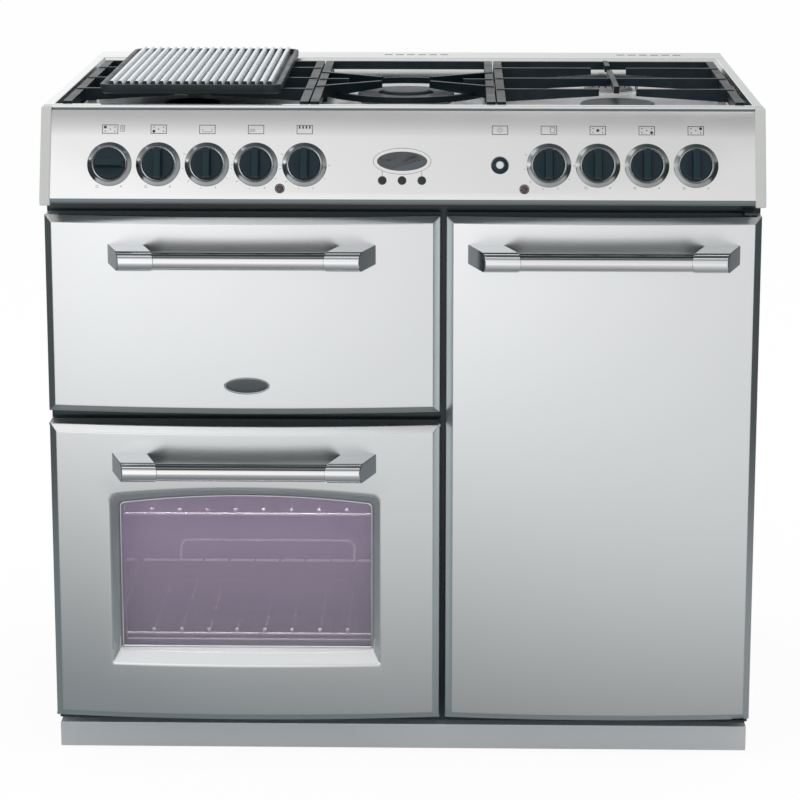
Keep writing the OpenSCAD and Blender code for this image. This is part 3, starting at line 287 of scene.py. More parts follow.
def give(group, label, value):
    """Closes a group: what it works out leaves by a named output."""
    group.interface.new_socket(label, in_out="OUTPUT", socket_type="NodeSocketFloat")
    group.links.new(value, group.nodes.new("NodeGroupOutput").inputs[label])


grain, given, place = effect("brushed_grain", Fineness=(60.0, 60.0, 2500.0))
stretch = add_node(grain, "VectorMath", place, given["Fineness"], settings={"operation": "MULTIPLY"})
lines = add_node(grain, "TexNoise", Vector=stretch.outputs[0], Scale=1.0, Detail=3.0, Roughness=0.6)
give(grain, "Lines", lines.outputs["Fac"])

touch, given, place = effect("wiped_touch", Size=6.0, Low=0.25, High=0.35)
cloud = add_node(touch, "TexNoise", Vector=place, Scale=given["Size"], Detail=4.0, Roughness=0.55)
give(touch, "Value", remap(touch, cloud.outputs["Fac"], 0.3, 0.7, given["Low"], given["High"]))

skin, given, place = effect("cast_skin", Grain=900.0)
coarse = add_node(skin, "TexNoise", Vector=place, Scale=given["Grain"], Detail=5.0, Roughness=0.7)
give(skin, "Height", coarse.outputs["Fac"])

dots, given, place = effect("enamel_dots", Grain=700.0, Share=0.3)
cells = add_node(dots, "TexNoise", Vector=place, Scale=given["Grain"], Detail=1.0)
bare = calculate(dots, "SUBTRACT", 1.0, given["Share"])
give(dots, "Mask", remap(dots, cells.outputs["Fac"], bare, 1.0))

edge_glint, given, place = effect("edge_highlight_mask", Amount=1.0)
# Sharp edges get a paler colour: a painted highlight.
edge = remap(edge_glint, add_node(edge_glint, "NewGeometry").outputs["Pointiness"], 0.52, 0.62)
glint_patches = add_node(edge_glint, "TexNoise", Vector=place, Scale=45.0, Detail=4.0)
glint_on_edges = calculate(edge_glint, "MULTIPLY", edge, glint_patches.outputs["Fac"])
give(edge_glint, "Mask", calculate(edge_glint, "MULTIPLY", glint_on_edges, given["Amount"], clamp=True))

climb, given, place = effect("height_mask", Low=0.0, High=1.0)
up = add_node(climb, "SeparateXYZ", place).outputs["Z"]
give(climb, "Mask", remap(climb, up, given["Low"], given["High"], kind="SMOOTHSTEP"))
print("effects", sorted(g.name for g in bpy.data.node_groups))

# %% [markdown]
# Every finish is a function of a few numbers: its colour, how rough it is, and how strongly its grain stands out.
# Steel, enamel, iron and plastic each get their own, because they differ in more than colour.

# %% Finish helpers
def use_effect(tree, group, **values):
    """A shared effect with this finish's own values."""
    node = tree.nodes.new("ShaderNodeGroup")
    node.node_tree = group
    for key, value in values.items():
        node.inputs[key].default_value = value
    return node.outputs[0]


def blend_colours(tree, factor, dark, light):
    """A colour between two, each a value or another node's colour."""
    mix = add_node(tree, "Mix", factor, settings={"data_type": "RGBA"})
    for socket, colour in zip([i for i in mix.inputs if i.type == "RGBA"], (dark, light)):
        plug(tree, socket, colour)
    return [o for o in mix.outputs if o.type == "RGBA"][0]


def times(colour, factor):
    """A colour made darker or lighter."""
    return tuple(min(1, v * factor) for v in colour[:3]) + (1,)


# Of each kind of finish: how many clouds of uneven gloss a metre holds, and how deep its bump may be, in metres
STEEL_SKIN, ENAMEL_SKIN, IRON_SKIN, PLASTIC_SKIN = (6.0, 0.0002), (14.0, 0.0003), (22.0, 0.0004), (30.0, 0.0002)


def add_surface(tree, colour, low, high, clouds_and_depth, height, relief, **sockets):
    """The surface of a finish: roughness that wanders from low to high, and a bump."""
    clouds, depth = clouds_and_depth
    rough = use_effect(tree, touch, Low=low, High=high, Size=clouds)
    raised = add_node(tree, "Bump", Strength=relief, Distance=depth, Height=height)
    surface = add_node(tree, "BsdfPrincipled", Base_Color=colour, Roughness=rough, Normal=raised.outputs[0], **sockets)
    add_node(tree, "OutputMaterial", Surface=surface.outputs[0])


def steel(name, colour, low, high, fineness, relief, spread, metallic=1.0):
    """Brushed or satin steel: mirror colour, roughness that wanders, and fine lines across the brushing."""
    material, tree = new_material(name)
    lines = use_effect(tree, grain, Fineness=fineness if isinstance(fineness, tuple) else (fineness,) * 3)
    base = blend_colours(tree, lines, times(colour, 1 - spread), times(colour, 1 + spread))
    add_surface(tree, base, low, high, STEEL_SKIN, lines, relief, Metallic=metallic)
    return material


def enamel(name, colour, light, low, high, coat, share):
    """Glassy enamel: a dark ground with fine paler dots under a clear coat."""
    material, tree = new_material(name)
    fleck = use_effect(tree, dots, Share=share)
    base = blend_colours(tree, fleck, colour, light)
    add_surface(tree, base, low, high, ENAMEL_SKIN, fleck, 0.08, Coat_Weight=coat, Coat_Roughness=0.12)
    return material


def iron(name, colour, edge_tint, low, high, size=900.0, relief=0.35, metallic=0.0, specular=0.5, low_shade=None):
    """Cast iron: a rough skin, paler on its sharp edges as a painted highlight; the last argument, if given, is (low,
    high, tint below low), painted shade that darkens it low down.
    """
    material, tree = new_material(name)
    cast = use_effect(tree, skin, Grain=size)
    base = blend_colours(tree, use_effect(tree, edge_glint), colour, edge_tint)
    # Painted shade: below a height the colour darkens towards the given tint.
    if low_shade:
        base = blend_colours(tree, use_effect(tree, climb, Low=low_shade[0], High=low_shade[1]), low_shade[2], base)
    add_surface(tree, base, low, high, IRON_SKIN, cast, relief, Metallic=metallic, Specular_IOR_Level=specular)
    return material


def plastic(name, colour, low, high, size=1500.0, relief=0.06, coat=0.0, specular=0.5):
    """Moulded plastic: one colour with a fine moulded grain and a slightly uneven gloss."""
    material, tree = new_material(name)
    cast = use_effect(tree, skin, Grain=size)
    base = blend_colours(tree, cast, times(colour, 0.93), colour)
    add_surface(tree, base, low, high, PLASTIC_SKIN, cast, relief, Coat_Weight=coat, Coat_Roughness=0.1,
                Specular_IOR_Level=specular)
    return material


def glass(name, colour, alpha, roughness, fade=None):
    """A coated pane with its own tint, through which the oven shows; fade is (low, high, tint at low)."""
    material, tree = new_material(name)
    film = blend_colours(tree, use_effect(tree, touch, Low=0.0, High=1.0, Size=5.0), colour, times(colour, 1.12))
    if fade:
        film = blend_colours(tree, use_effect(tree, climb, Low=fade[0], High=fade[1]), fade[2], film)
    surface = add_node(tree, "BsdfPrincipled", Base_Color=film, Roughness=roughness, Alpha=alpha, IOR=1.52,
                       Coat_Weight=1.0, Coat_Roughness=0.03)
    add_node(tree, "OutputMaterial", Surface=surface.outputs[0])
    return material


print("ways to finish a surface: steel, enamel, iron, plastic, glass")

# %% [markdown]
# The table of finishes. Steel is told how fine its lines are along X, Y and Z: few to the metre along the brushing,
# thousands across it, and one number where it is polished and has no direction. Two roughnesses come after each
# colour, and the surface wanders between them.

# %% Finishes
UPRIGHT = (2600.0, 2600.0, 45.0)
ACROSS = (40.0, 40.0, 3000.0)
ON_TOP = (40.0, 2500.0, 2500.0)
ROUND_BAR = (2600.0, 60.0, 60.0)
finish = {
    "stainless": steel("panel_steel", (0.96, 0.96, 0.95, 1), 0.18, 0.23, ACROSS, 0.012, 0.01),
    # A darker copy of the panel steel: painted shade under the hob and on the lip at the foot.
    "panel_shade": steel("panel_shade_steel", (0.20, 0.235, 0.25, 1), 0.28, 0.32, ACROSS, 0.03, 0.012),
    # A paler, more matt copy of the hob steel for the well's floor: painted light.
    "well": steel("well_light_steel", (0.96, 0.97, 0.975, 1), 0.12, 0.18, ON_TOP, 0.01, 0.01, 0.3),
    "hob": steel("hob_steel", (0.79, 0.80, 0.80, 1), 0.12, 0.20, ON_TOP, 0.01, 0.01),
    "door_steel": steel("door_steel", (0.95, 0.96, 0.962, 1), 0.28, 0.30, UPRIGHT, 0.004, 0.006),
    # Darker and paler copies of the door steel: painted shade on the side and bottom bevels, the recess walls and the
    # grill door's underside, painted light on the recess faces that look up.
    "door_side": steel("door_edge_shade_steel", (0.78, 0.83, 0.84, 1), 0.28, 0.34, UPRIGHT, 0.004, 0.006),
    "sill": steel("sill_light_steel", (0.985, 0.99, 0.995, 1), 0.32, 0.4, UPRIGHT, 0.004, 0.006, 0.2),
    "under": steel("under_shade_steel", (0.29, 0.325, 0.325, 1), 0.36, 0.44, UPRIGHT, 0.004, 0.006, 0.5),
    "recess": steel("recess_shade_steel", (0.47, 0.53, 0.525, 1), 0.36, 0.44, UPRIGHT, 0.004, 0.006, 0.5),
    # The brackets' sides take a dark copy of the polished steel, painted shade, and the lower part of each nose a
    # bright one, a painted highlight. The bar's top and back take a dark copy of its steel: a painted reflection and
    # painted shade.
    "bracket": steel("polished_steel", (0.56, 0.58, 0.595, 1), 0.06, 0.12, 300.0, 0.01, 0.01),
    "bracket_side_shade": steel("bracket_shade_steel", (0.17, 0.20, 0.215, 1), 0.10, 0.16, 300.0, 0.01, 0.01),
    "nose_highlight": steel("nose_highlight_steel", (0.95, 0.955, 0.965, 1), 0.08, 0.14, 300.0, 0.01, 0.01),
    "bar_shade": steel("bar_shade_steel", (0.17, 0.19, 0.19, 1), 0.16, 0.22, ROUND_BAR, 0.02, 0.02),
    "bar_steel": steel("bar_steel", (0.95, 0.93, 0.935, 1), 0.13, 0.18, ROUND_BAR, 0.05, 0.03),
    "zinc_steel": steel("zinc_sheet", (0.58, 0.59, 0.60, 1), 0.42, 0.58, 90.0, 0.06, 0.10),
    "plinth_steel": steel("plinth_steel", (0.92, 0.935, 0.96, 1), 0.30, 0.38, (40.0, 40.0, 2500.0), 0.03, 0.012, 0.55),
    "bezel_steel": steel("turned_steel", (0.37, 0.39, 0.395, 1), 0.10, 0.16, 1500.0, 0.04, 0.05),
    "burner_alloy": iron("burner_alloy", (0.50, 0.50, 0.49, 1), (0.7, 0.7, 0.69, 1), 0.35, 0.5, 1200.0, 0.15, 1.0),
    "wire_chrome": steel("plated_wire", (0.86, 0.87, 0.88, 1), 0.10, 0.18, 500.0, 0.01, 0.02),
    # A pale, nearly matt copy of the wire steel for the shelves' dots, front and back rods and fence: painted light.
    "lit_shelf_wire": steel("lit_shelf_wire_steel", (0.95, 0.95, 0.96, 1), 0.4, 0.5, 500.0, 0.01, 0.01, 0.1),
    "shelf_rod": steel("shelf_rod_steel", (0.42, 0.42, 0.43, 1), 0.22, 0.3, 500.0, 0.01, 0.01, 0.8),
    "element_steel": steel("element_sheath", (0.16, 0.15, 0.16, 1), 0.35, 0.5, 600.0, 0.05, 0.15),
    "valve_brass": steel("brass", (0.60, 0.48, 0.24, 1), 0.25, 0.4, 200.0, 0.05, 0.06),
    "casing": enamel("casing_enamel", tint(82, 86, 90), tint(96, 100, 104), 0.35, 0.45, 0.15, 0.4),
    "frame_enamel": enamel("frame_enamel", tint(38, 56, 62), tint(48, 67, 73), 0.2, 0.28, 0.15, 0.35),
    "oven_enamel": enamel("oven_enamel", tint(58, 52, 62), tint(104, 98, 108), 0.15, 0.25, 0.5, 0.36),
    "cast_iron": iron("pan_support_iron", tint(10, 25, 31), tint(38, 52, 58), 0.3, 0.4, specular=0.2),
    # The griddle is one casting in two copies of its iron: the ribs take a very pale one that darkens low between them,
    # and the tray and the rib ends take a dark one. The darkening and the dark copy are painted shade.
    "griddle_iron": iron("griddle_iron", tint(236, 240, 244), tint(252, 253, 255), 0.2, 0.28, 1100.0, 0.15, 0.9,
                         low_shade=(0.8598, 0.8662, tint(112, 121, 127))),
    "griddle_shade": iron("griddle_shade_iron", tint(20, 30, 36), tint(84, 93, 98), 0.30, 0.42, 1100.0, 0.3,
                         specular=0.35),
    "burner_enamel": iron("burner_cap_enamel", tint(44, 52, 57), tint(84, 90, 94), 0.34, 0.44, 700.0, 0.12,
                          specular=0.22),
    "knob_plastic": plastic("knob_moulding", tint(18, 45, 55), 0.28, 0.34, 1800.0, 0.05, specular=0.32),
    "cap_plastic": plastic("end_cap_moulding", tint(222, 223, 219), 0.42, 0.5, 2200.0, 0.06),
    "dark_plastic": plastic("button_moulding", tint(38, 45, 50), 0.28, 0.34),
    "white_plastic": plastic("white_moulding", tint(244, 245, 245), 0.18, 0.25, coat=0.5),
    "display": plastic("display_window", tint(84, 96, 103), 0.24, 0.30, coat=0.3),
    "lamp_red": plastic("neon_lens", tint(76, 54, 56), 0.12, 0.2, coat=0.8),
    "seal_rubber": plastic("seal_rubber", tint(26, 27, 29), 0.6, 0.72, 1200.0, 0.2),
    "fitting_dark": plastic("fitting_moulding", tint(52, 54, 58), 0.45, 0.55),
    "foot_black": plastic("foot_moulding", tint(34, 35, 38), 0.5, 0.6),
    "print": plastic("black_print", tint(44, 48, 50), 0.4, 0.5, relief=0.01),
    "badge": enamel("badge_enamel", tint(50, 60, 66), tint(58, 68, 74), 0.15, 0.2, 0.8, 0.3),
    # A dark finish for the vent slots and the screw crosses, where there is only shade: painted shadow.
    "painted_shadow": enamel("shadow_gap", tint(12, 20, 26), tint(16, 25, 31), 0.3, 0.4, 0.2, 0.3),
    # The film darkens towards the foot of the window: painted shade.
    "window_film": glass("window_film", tint(204, 184, 215), 0.42, 0.12, (0.14, 0.36, tint(166, 154, 174))),
    "window_glass": glass("inner_pane", (0.55, 0.53, 0.58, 1), 0.06, 0.05),
}
print(len(finish), "finishes")

# %% [markdown]
# Three ways to make a piece come back again and again. A pressed sheet or a casting whose CAD shape is right is
# carried over: its triangles are merged into clean faces, and its sharp edges are bevelled, because a real edge is
# never a knife edge and only a rounded one catches the light. Turned pieces are spun from a profile. The rest start
# from a primitive and are bevelled.

# %% Piece helpers
def box_mm(node):
    """A node's lowest and highest corners, in millimetres."""
    low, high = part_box(node)
    return low / MM, high / MM


def place_at(x, y, z):
    """A place in millimetres, as a matrix in metres."""
    return Matrix.Translation(Vector((x, y, z)) * MM)


def middle(face):
    """The middle of a face, in millimetres."""
    return face.calc_center_median() / MM


def publish(name, bm, materials, nodes=(), body=None, angle=32):
    """Turns a bmesh into a finished piece that rides on its body."""
    mesh = bpy.data.meshes.new(name)
    bm.to_mesh(mesh)
    bm.free()
    for material in materials if isinstance(materials, (list, tuple)) else [materials]:
        mesh.materials.append(material)
    for face in mesh.polygons:
        face.use_smooth = True
    mesh.set_sharp_from_angle(angle=math.radians(angle))
    piece = bpy.data.objects.new(name, mesh)
    scene.collection.objects.link(piece)
    even = piece.modifiers.new("even_shading", "WEIGHTED_NORMAL")
    even.keep_sharp = True
    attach(piece, body or body_of[nodes[0]])
    if nodes:
        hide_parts(*nodes)
    return piece


def paint(faces, index):
    """Gives faces another of their piece's materials."""
    for face in faces:
        face.material_index = index


def bevel_edges(bm, edges, width, segments, clamp=False):
    """Rounds edges by a width in millimetres."""
    return bmesh.ops.bevel(bm, geom=edges, offset=width * MM, segments=segments, profile=0.5, affect="EDGES",
                           clamp_overlap=clamp, material=-1)["verts"]


def soften(bm, width, segments, angle=25):
    """Rounds all edges that are sharper than an angle, by a width in millimetres."""
    sharp = [e for e in bm.edges if len(e.link_faces) == 2 and e.calc_face_angle(0) > math.radians(angle)]
    bevel_edges(bm, sharp, width, segments, clamp=True)


def merge_into(bm, part, place=Matrix()):
    """Adds a finished bmesh to another one, at a place, and frees it."""
    bmesh.ops.transform(part, matrix=place, verts=part.verts)
    carrier = bpy.data.meshes.new("carrier")
    part.to_mesh(carrier)
    part.free()
    bm.from_mesh(carrier)
    bpy.data.meshes.remove(carrier)


def add_block(bm, low, high, width=0.0, segments=2, material=0):
    """A block between two corners, in millimetres, with its edges rounded."""
    low, high = Vector(low), Vector(high)
    made = bmesh.ops.create_cube(bm, size=1, matrix=Matrix.Translation((low + high) / 2 * MM)
                                 @ Matrix.Diagonal((*((high - low) * MM), 1)))["verts"]
    if width:
        made = bevel_edges(bm, list(dict.fromkeys(e for v in made for e in v.link_edges)), width, segments)
    paint({f for v in made if v.is_valid for f in v.link_faces}, material)


def add_rod(bm, start, end, radius, segments=12):
    """A round rod between two points, in millimetres."""
    start, end = Vector(start) * MM, Vector(end) * MM
    turn = (end - start).to_track_quat("Z", "Y").to_matrix().to_4x4()
    bmesh.ops.create_cone(bm, cap_ends=True, segments=segments, radius1=radius * MM, radius2=radius * MM,
                          depth=(end - start).length, matrix=Matrix.Translation((start + end) / 2) @ turn)


def add_spun(bm, profile, place, steps):
    """Spins a profile of (radius, height) points, in millimetres, round the Z axis of place."""
    part = bmesh.new()
    points = [part.verts.new((r * MM, 0, z * MM)) for r, z in profile]
    for a, b in zip(points, points[1:]):
        part.edges.new((a, b))
    bmesh.ops.spin(part, geom=part.verts[:] + part.edges[:], cent=(0, 0, 0), axis=(0, 0, 1), dvec=(0, 0, 0),
                   angle=math.tau, steps=steps, use_merge=True, use_duplicate=False)
    bmesh.ops.remove_doubles(part, verts=part.verts, dist=1e-6)
    bmesh.ops.dissolve_degenerate(part, edges=part.edges, dist=1e-7)
    bmesh.ops.recalc_face_normals(part, faces=part.faces)
    merge_into(bm, part, place)


def from_edge(radius, profile):
    """A profile whose points are given from a radius outwards."""
    return [(radius + r, z) for r, z in profile]


def slice_at(bm, point, normal, faces=None):
    """Cuts the faces, or the whole of bm, along a plane through a point in millimetres."""
    faces = bm.faces if faces is None else faces
    parts = dict.fromkeys(g for f in faces for g in (*f.verts, *f.edges, f))
    bmesh.ops.bisect_plane(bm, geom=list(parts), plane_co=Vector(point) * MM, plane_no=normal)


def merged_copy(node):
    """A clean copy of a CAD node: triangles merged into flat faces."""
    bm = bmesh.new()
    bm.from_mesh(frame["nodes"][node].data)
    bmesh.ops.remove_doubles(bm, verts=bm.verts, dist=2e-6)
    bmesh.ops.dissolve_limit(bm, angle_limit=0.006, verts=bm.verts, edges=bm.edges, use_dissolve_boundaries=False)
    return bm


def carried(node, width, material=None, segments=2):
    """A CAD node carried over with rounded edges and its own finish."""
    bm = merged_copy(node)
    soften(bm, width, segments)
    piece = publish(node + "_piece", bm, material or finish[slot_of[node]], [node])
    print(piece.name, len(piece.data.polygons), "faces")


# The sloping face of the control panel: Z is its outward normal, Y points up the slope
DOOR_Y, RIM, PANEL_LEAN, PANEL_H = -274.75, 850.0, 37.0, 108.0
LEAN = math.atan2(PANEL_LEAN, PANEL_H)
PANEL_TOP = Vector((0, DOOR_Y + 11, RIM - 4))


def on_face(x, drop, out=0.0):
    """A place on the sloping face, in metres, for helpers that work round the Z axis."""
    at = PANEL_TOP + Vector((x, -drop * math.sin(LEAN) - out * math.cos(LEAN),
                             -drop * math.cos(LEAN) + out * math.sin(LEAN)))
    return Matrix.Translation(at * MM) @ Matrix.Rotation(math.pi / 2 - LEAN, 4, "X")


print("lean", round(math.degrees(LEAN), 2))

# %% [markdown]
# The doors are pressed from one sheet: a shallow bowed face, a bevel all round it, a return to the back and a
# narrow flange. A box with a bevel would be solid and flat. Here the face's rim is extruded outwards and
# backwards step by step, and the sheet gets its thickness at the end, so the door is hollow like a real one.

# %% Door sheets
BEVEL_DEEP, BOW_R, DOOR_BACK, SKIN, FACE_INSET = 8.0, 2000.0, -248.75, 1.5, 10.4
# Steps round the front edge: how far in from the door's outline, and how far in front of DOOR_Y
BEVEL_STEPS = [(9.3, 7.98), (8.6, 7.6), (1.1, 0.95), (0.45, 0.1), (0.1, -0.8), (0.0, -1.8)]
# Steps of the return and the flange: how far in, and where in depth
BACK_STEPS = [(0.0, DOOR_BACK - 1.2), (0.4, DOOR_BACK - 0.4), (1.2, DOOR_BACK), (12.0, DOOR_BACK)]
# Notches in the foot of a door, through which its hinges pass
NOTCH_HALF, NOTCH_Y, NOTCH_TALL, HINGE_IN = 6.5, -279.75, 20.0, 60.0
MITRE_R, REAR_Y, RIM_W = 0.7, -282.0, 10.0
DOOR_FINISHES = [finish[key] for key in ("door_steel", "door_side", "recess", "sill", "under")]


def bow(u, half):
    """How far the bowed front stands ahead of the door's edge."""
    return (half * half - u * u) / (2 * BOW_R)


def door_size(node):
    """Centre, half width, bottom and top of a door, in millimetres."""
    low, high = box_mm(node)
    return (low.x + high.x) / 2, (high.x - low.x) / 2, low.z, high.z


def grow_ring(bm, ring, place):
    """Extrudes a rim of edges and moves each new corner to place(old corner)."""
    made = bmesh.ops.extrude_edge_only(bm, edges=ring)["geom"]
    new = [v for v in made if isinstance(v, bmesh.types.BMVert)]
    for v in new:
        v.co = place(v.co / MM) * MM
    return [e for e in made if isinstance(e, bmesh.types.BMEdge) and e.is_boundary]


def door_edge(bm, ring, door):
    """Carries the rim of a face round the bevel, along the return and into the back flange."""
    cx, half, low, high = door
    mid, tall = (low + high) / 2, (high - low) / 2

    def step(old, new, ahead, y=None):
        """Moves a corner from one inset to the next, ahead of DOOR_Y or at a depth of its own."""
        def place(p):
            """The corner's new seat."""
            u = (p.x - cx) * (half - new) / (half - old)
            z = mid + (p.z - mid) * (tall - new) / (tall - old)
            return Vector((cx + u, DOOR_Y - ahead - bow(u, half) if y is None else y, z))
        return place

    inset = FACE_INSET
    for new, ahead in BEVEL_STEPS:
        ring = grow_ring(bm, ring, step(inset, new, ahead))
        inset = new
    for new, y in BACK_STEPS:
        ring = grow_ring(bm, ring, step(inset, new, 0.0, y))
        inset = new


def open_notch(bm, hinge, low):
    """Cuts a notch for a hinge out of the foot of a door, in its return and flange."""

    def in_notch(face):
        """Whether a face lies between the sides of the notch and below its top."""
        return abs(middle(face).x - hinge) < NOTCH_HALF - 0.1 and middle(face).z < low + NOTCH_TALL

    for x in (hinge - NOTCH_HALF, hinge + NOTCH_HALF):
        rear = [f for f in bm.faces if middle(f).y > REAR_Y and middle(f).z < low + NOTCH_TALL]
        slice_at(bm, (x, 0, 0), (1, 0, 0), rear)
    slice_at(bm, (0, NOTCH_Y, 0), (0, 1, 0), [f for f in bm.faces if in_notch(f) and f.normal.y > -0.3])
    bmesh.ops.delete(bm, geom=[f for f in bm.faces if in_notch(f) and middle(f).y > NOTCH_Y], context="FACES")


def finish_door(bm, name, node, door, hinges):
    """Rounds the mitred corners, opens the hinge notches and gives the sheet its thickness."""
    cx, half, low, high = door

    def insets(v):
        """How far a corner lies in from the door's sides, and from its top or bottom."""
        x, z = v.co.x / MM, v.co.z / MM
        return abs(abs(x - cx) - half), min(abs(z - low), abs(z - high))

    def on_mitre(e):
        """Whether an edge is the sharp join of two bevels in a corner of the door."""
        across, up = insets(e.verts[0])
        return (len(e.link_faces) == 2 and e.calc_face_angle(0) > 0.3 and (across - up) ** 2 < 1e-3
                and all(max(insets(v)) < 12 for v in e.verts))

    bevel_edges(bm, [e for e in bm.edges if on_mitre(e)], MITRE_R, 2)
    for hinge in hinges:
        open_notch(bm, hinge, low)
    bmesh.ops.recalc_face_normals(bm, faces=bm.faces)
    if sum(f.calc_area() * f.normal.y for f in bm.faces if middle(f).y < DOOR_Y) > 0:
        bmesh.ops.reverse_faces(bm, faces=bm.faces)
    # The side and bottom bevels take a darker copy of the door steel, the grill door's underside a darker one still,
    # the recess walls a darker one and the recess faces that look up a paler one: painted shade and painted light.
    for face in bm.faces:
        x, y, z = middle(face) - Vector((cx, 0, 0))
        rim = abs(x) > half - RIM_W or z < low + RIM_W or z > high - RIM_W
        if rim and face.normal.y > -0.95 and face.normal.z < 0.3:
            face.material_index = 4 if face.normal.z < -0.3 and node == "grill_door_panel" else 1
        elif not rim and y > DOOR_Y - BEVEL_DEEP - bow(x, half) + 1:
            face.material_index = 2 if face.normal.z < 0.3 else 3
    piece = publish(name, bm, DOOR_FINISHES, [node], angle=40)
    wall = piece.modifiers.new("sheet", "SOLIDIFY")
    wall.thickness = SKIN * MM
    wall.offset = -1
    piece.modifiers.move(1, 0)
    print(name, len(piece.data.polygons), "faces")


def plain_door(name, node, hinges=()):
    """A door without a window: its face is one bowed grid."""
    cx, half, low, high = door = door_size(node)
    bm = bmesh.new()
    bmesh.ops.create_grid(bm, x_segments=32, y_segments=2, size=1, matrix=Matrix.Rotation(math.pi / 2, 4, "X"))
    for v in bm.verts:
        u = v.co.x * (half - FACE_INSET)
        z = (low + high) / 2 + v.co.z * ((high - low) / 2 - FACE_INSET)
        v.co = Vector((cx + u, DOOR_Y - BEVEL_DEEP - bow(u, half), z)) * MM
    door_edge(bm, [e for e in bm.edges if e.is_boundary], door)
    finish_door(bm, name, node, door, hinges)


grill_x, grill_half = door_size("grill_door_panel")[:2]
drop_hinges = [grill_x + side * (grill_half - HINGE_IN) for side in (-1, 1)]
plain_door("grill_door_sheet", "grill_door_panel", drop_hinges)
plain_door("tall_door_sheet", "tall_door_panel")

# %% [markdown]
# The main oven's door has a window in a deep recess. Its sheet starts at the window's edge, climbs the recess,
# rounds over onto the bowed face and runs out to the same bevel as the other doors. Every ring has the same number
# of corners, so each can be extruded from the one before.

# %% Door with a window
N_X, N_Z, N_C = 24, 14, 4
WINDOW_HALF, WINDOW_LOW, WINDOW_TOP, WINDOW_RISE = 162.5, 145.0, 339.5, 10.0
# How far behind DOOR_Y the sheet's edge and the foot of the recess lie, and the ledge's front behind the bowed face
SILL_IN, RECESS_IN, LEDGE_IN = 8.0, 6.5, 13.0
# How high above the opening's foot the ledge ends, and how far below that it is at its full depth
LEDGE_UP, LEDGE_FADE = 16.0, 14.0
# Where a bend starts, as a share of the way to its corner, and how far past the ledge's corner it ends
BEND_AT, BEND_END = 0.86, 0.1


def arc(x, z, radius, start):
    """Points of a quarter circle round a centre, from an angle onwards."""
    turns = [start + i * math.pi / 2 / N_C for i in range(N_C)]
    return [(x + radius * math.cos(a), z + radius * math.sin(a)) for a in turns]


def outline(half, low, top, rise=0.0, r_low=1.0, r_top=1.0):
    """Points round a shape with rounded corners and an arched top, as (x, z) from its centre line."""
    lift = rise * (1 - ((half - r_top) / half) ** 2)
    foot, head = low + r_low, top + lift - r_top
    shares = [i / N_X for i in range(N_X)]
    steps = [i / N_Z * (head - foot) for i in range(N_Z)]
    arch = [(half - r_top) * (1 - 2 * share) for share in shares]
    return [*(((half - r_low) * (2 * share - 1), low) for share in shares),
            *arc(half - r_low, foot, r_low, -math.pi / 2),
            *((half, foot + step) for step in steps),
            *arc(half - r_top, head, r_top, 0.0),
            *((u, top + rise * (1 - (u / half) ** 2)) for u in arch),
            *arc(r_top - half, head, r_top, math.pi / 2),
            *((-half, head - step) for step in steps),
            *arc(r_low - half, foot, r_low, math.pi)]


def first_ring(bm, points):
    """A closed rim of edges through the points."""
    ring = bmesh.ops.create_circle(bm, cap_ends=False, segments=len(points), radius=1)["verts"]
    for v, point in zip(ring, points):
        v.co = Vector(point) * MM
    return list(dict.fromkeys(e for v in ring for e in v.link_edges))


def next_ring(bm, ring, before, after):
    """Extrudes a rim from one list of points to the next list of as many points."""
    seats = {tuple(round(c, 3) for c in p): Vector(q) for p, q in zip(before, after)}

    def place(p):
        """The next seat of a corner, looked up by where it lies now."""
        found = seats.get(tuple(round(c, 3) for c in p))
        return found or min(seats.items(), key=lambda pair: (Vector(pair[0]) - p).length)[1]
    return grow_ring(bm, ring, place)


def add_rings(bm, rings):
    """A skin over rings of as many points each; gives its last rim."""
    ring = first_ring(bm, rings[0])
    for before, after in zip(rings, rings[1:]):
        ring = next_ring(bm, ring, before, after)
    return ring


def window_ring(side, drop, r_low, r_top):
    """The window's outline, wider by side and taller by drop at each end."""
    half = WINDOW_HALF + side
    return outline(half, WINDOW_LOW - drop, WINDOW_TOP + drop, WINDOW_RISE * half / WINDOW_HALF, r_low, r_top)


def blend_points(a, b, t):
    """The points a share t of the way from one ring to another."""
    return [tuple(p + (q - p) * t for p, q in zip(one, two)) for one, two in zip(a, b)]


def round_corner(start, corner, end):
    """Rings that curve from start to end past a corner."""
    between = [blend_points(blend_points(start, corner, t), blend_points(corner, end, t), t) for t in (0.3, 0.6)]
    return [start, *between, end]


def main_door():
    """The door with the window recess."""
    cx, half, low, high = door = door_size("main_door_panel")

    def on_front(points):
        """Points (x, z) from the door's centre line, laid on its bowed face."""
        return [(cx + x, DOOR_Y - BEVEL_DEEP - bow(x, half), z) for x, z in points]

    sill = [(cx + x, DOOR_Y + SILL_IN, z) for x, z in window_ring(0, 0, 3, 6)]
    # Along the bottom a level ledge comes forward from the glass, and ends a fixed depth behind the bowed face
    ledge = []
    for x, y, z in on_front(window_ring(1.0, 1.0, 3, 7)):
        share = min(1.0, max(0.0, (WINDOW_LOW + LEDGE_UP - z) / LEDGE_FADE))
        ledge.append((x, DOOR_Y + RECESS_IN + share * (y + LEDGE_IN - DOOR_Y - RECESS_IN), z))
    mouth = on_front(window_ring(9, 14, 2, 10))
    apron = on_front(window_ring(13, 18, 5, 14))
    edge = on_front(outline(half - FACE_INSET, low + FACE_INSET, high - FACE_INSET))
    rings = [sill, *round_corner(blend_points(sill, ledge, BEND_AT), ledge, blend_points(ledge, mouth, BEND_END)),
             *round_corner(blend_points(ledge, mouth, BEND_AT), mouth, apron)]
    rings += [on_front([(x - cx, z) for x, y, z in blend_points(apron, edge, t)]) for t in (0.33, 0.67)]
    bm = bmesh.new()
    door_edge(bm, add_rings(bm, [*rings, edge]), door)
    finish_door(bm, "main_door_sheet", "main_door_panel", door, drop_hinges)


main_door()

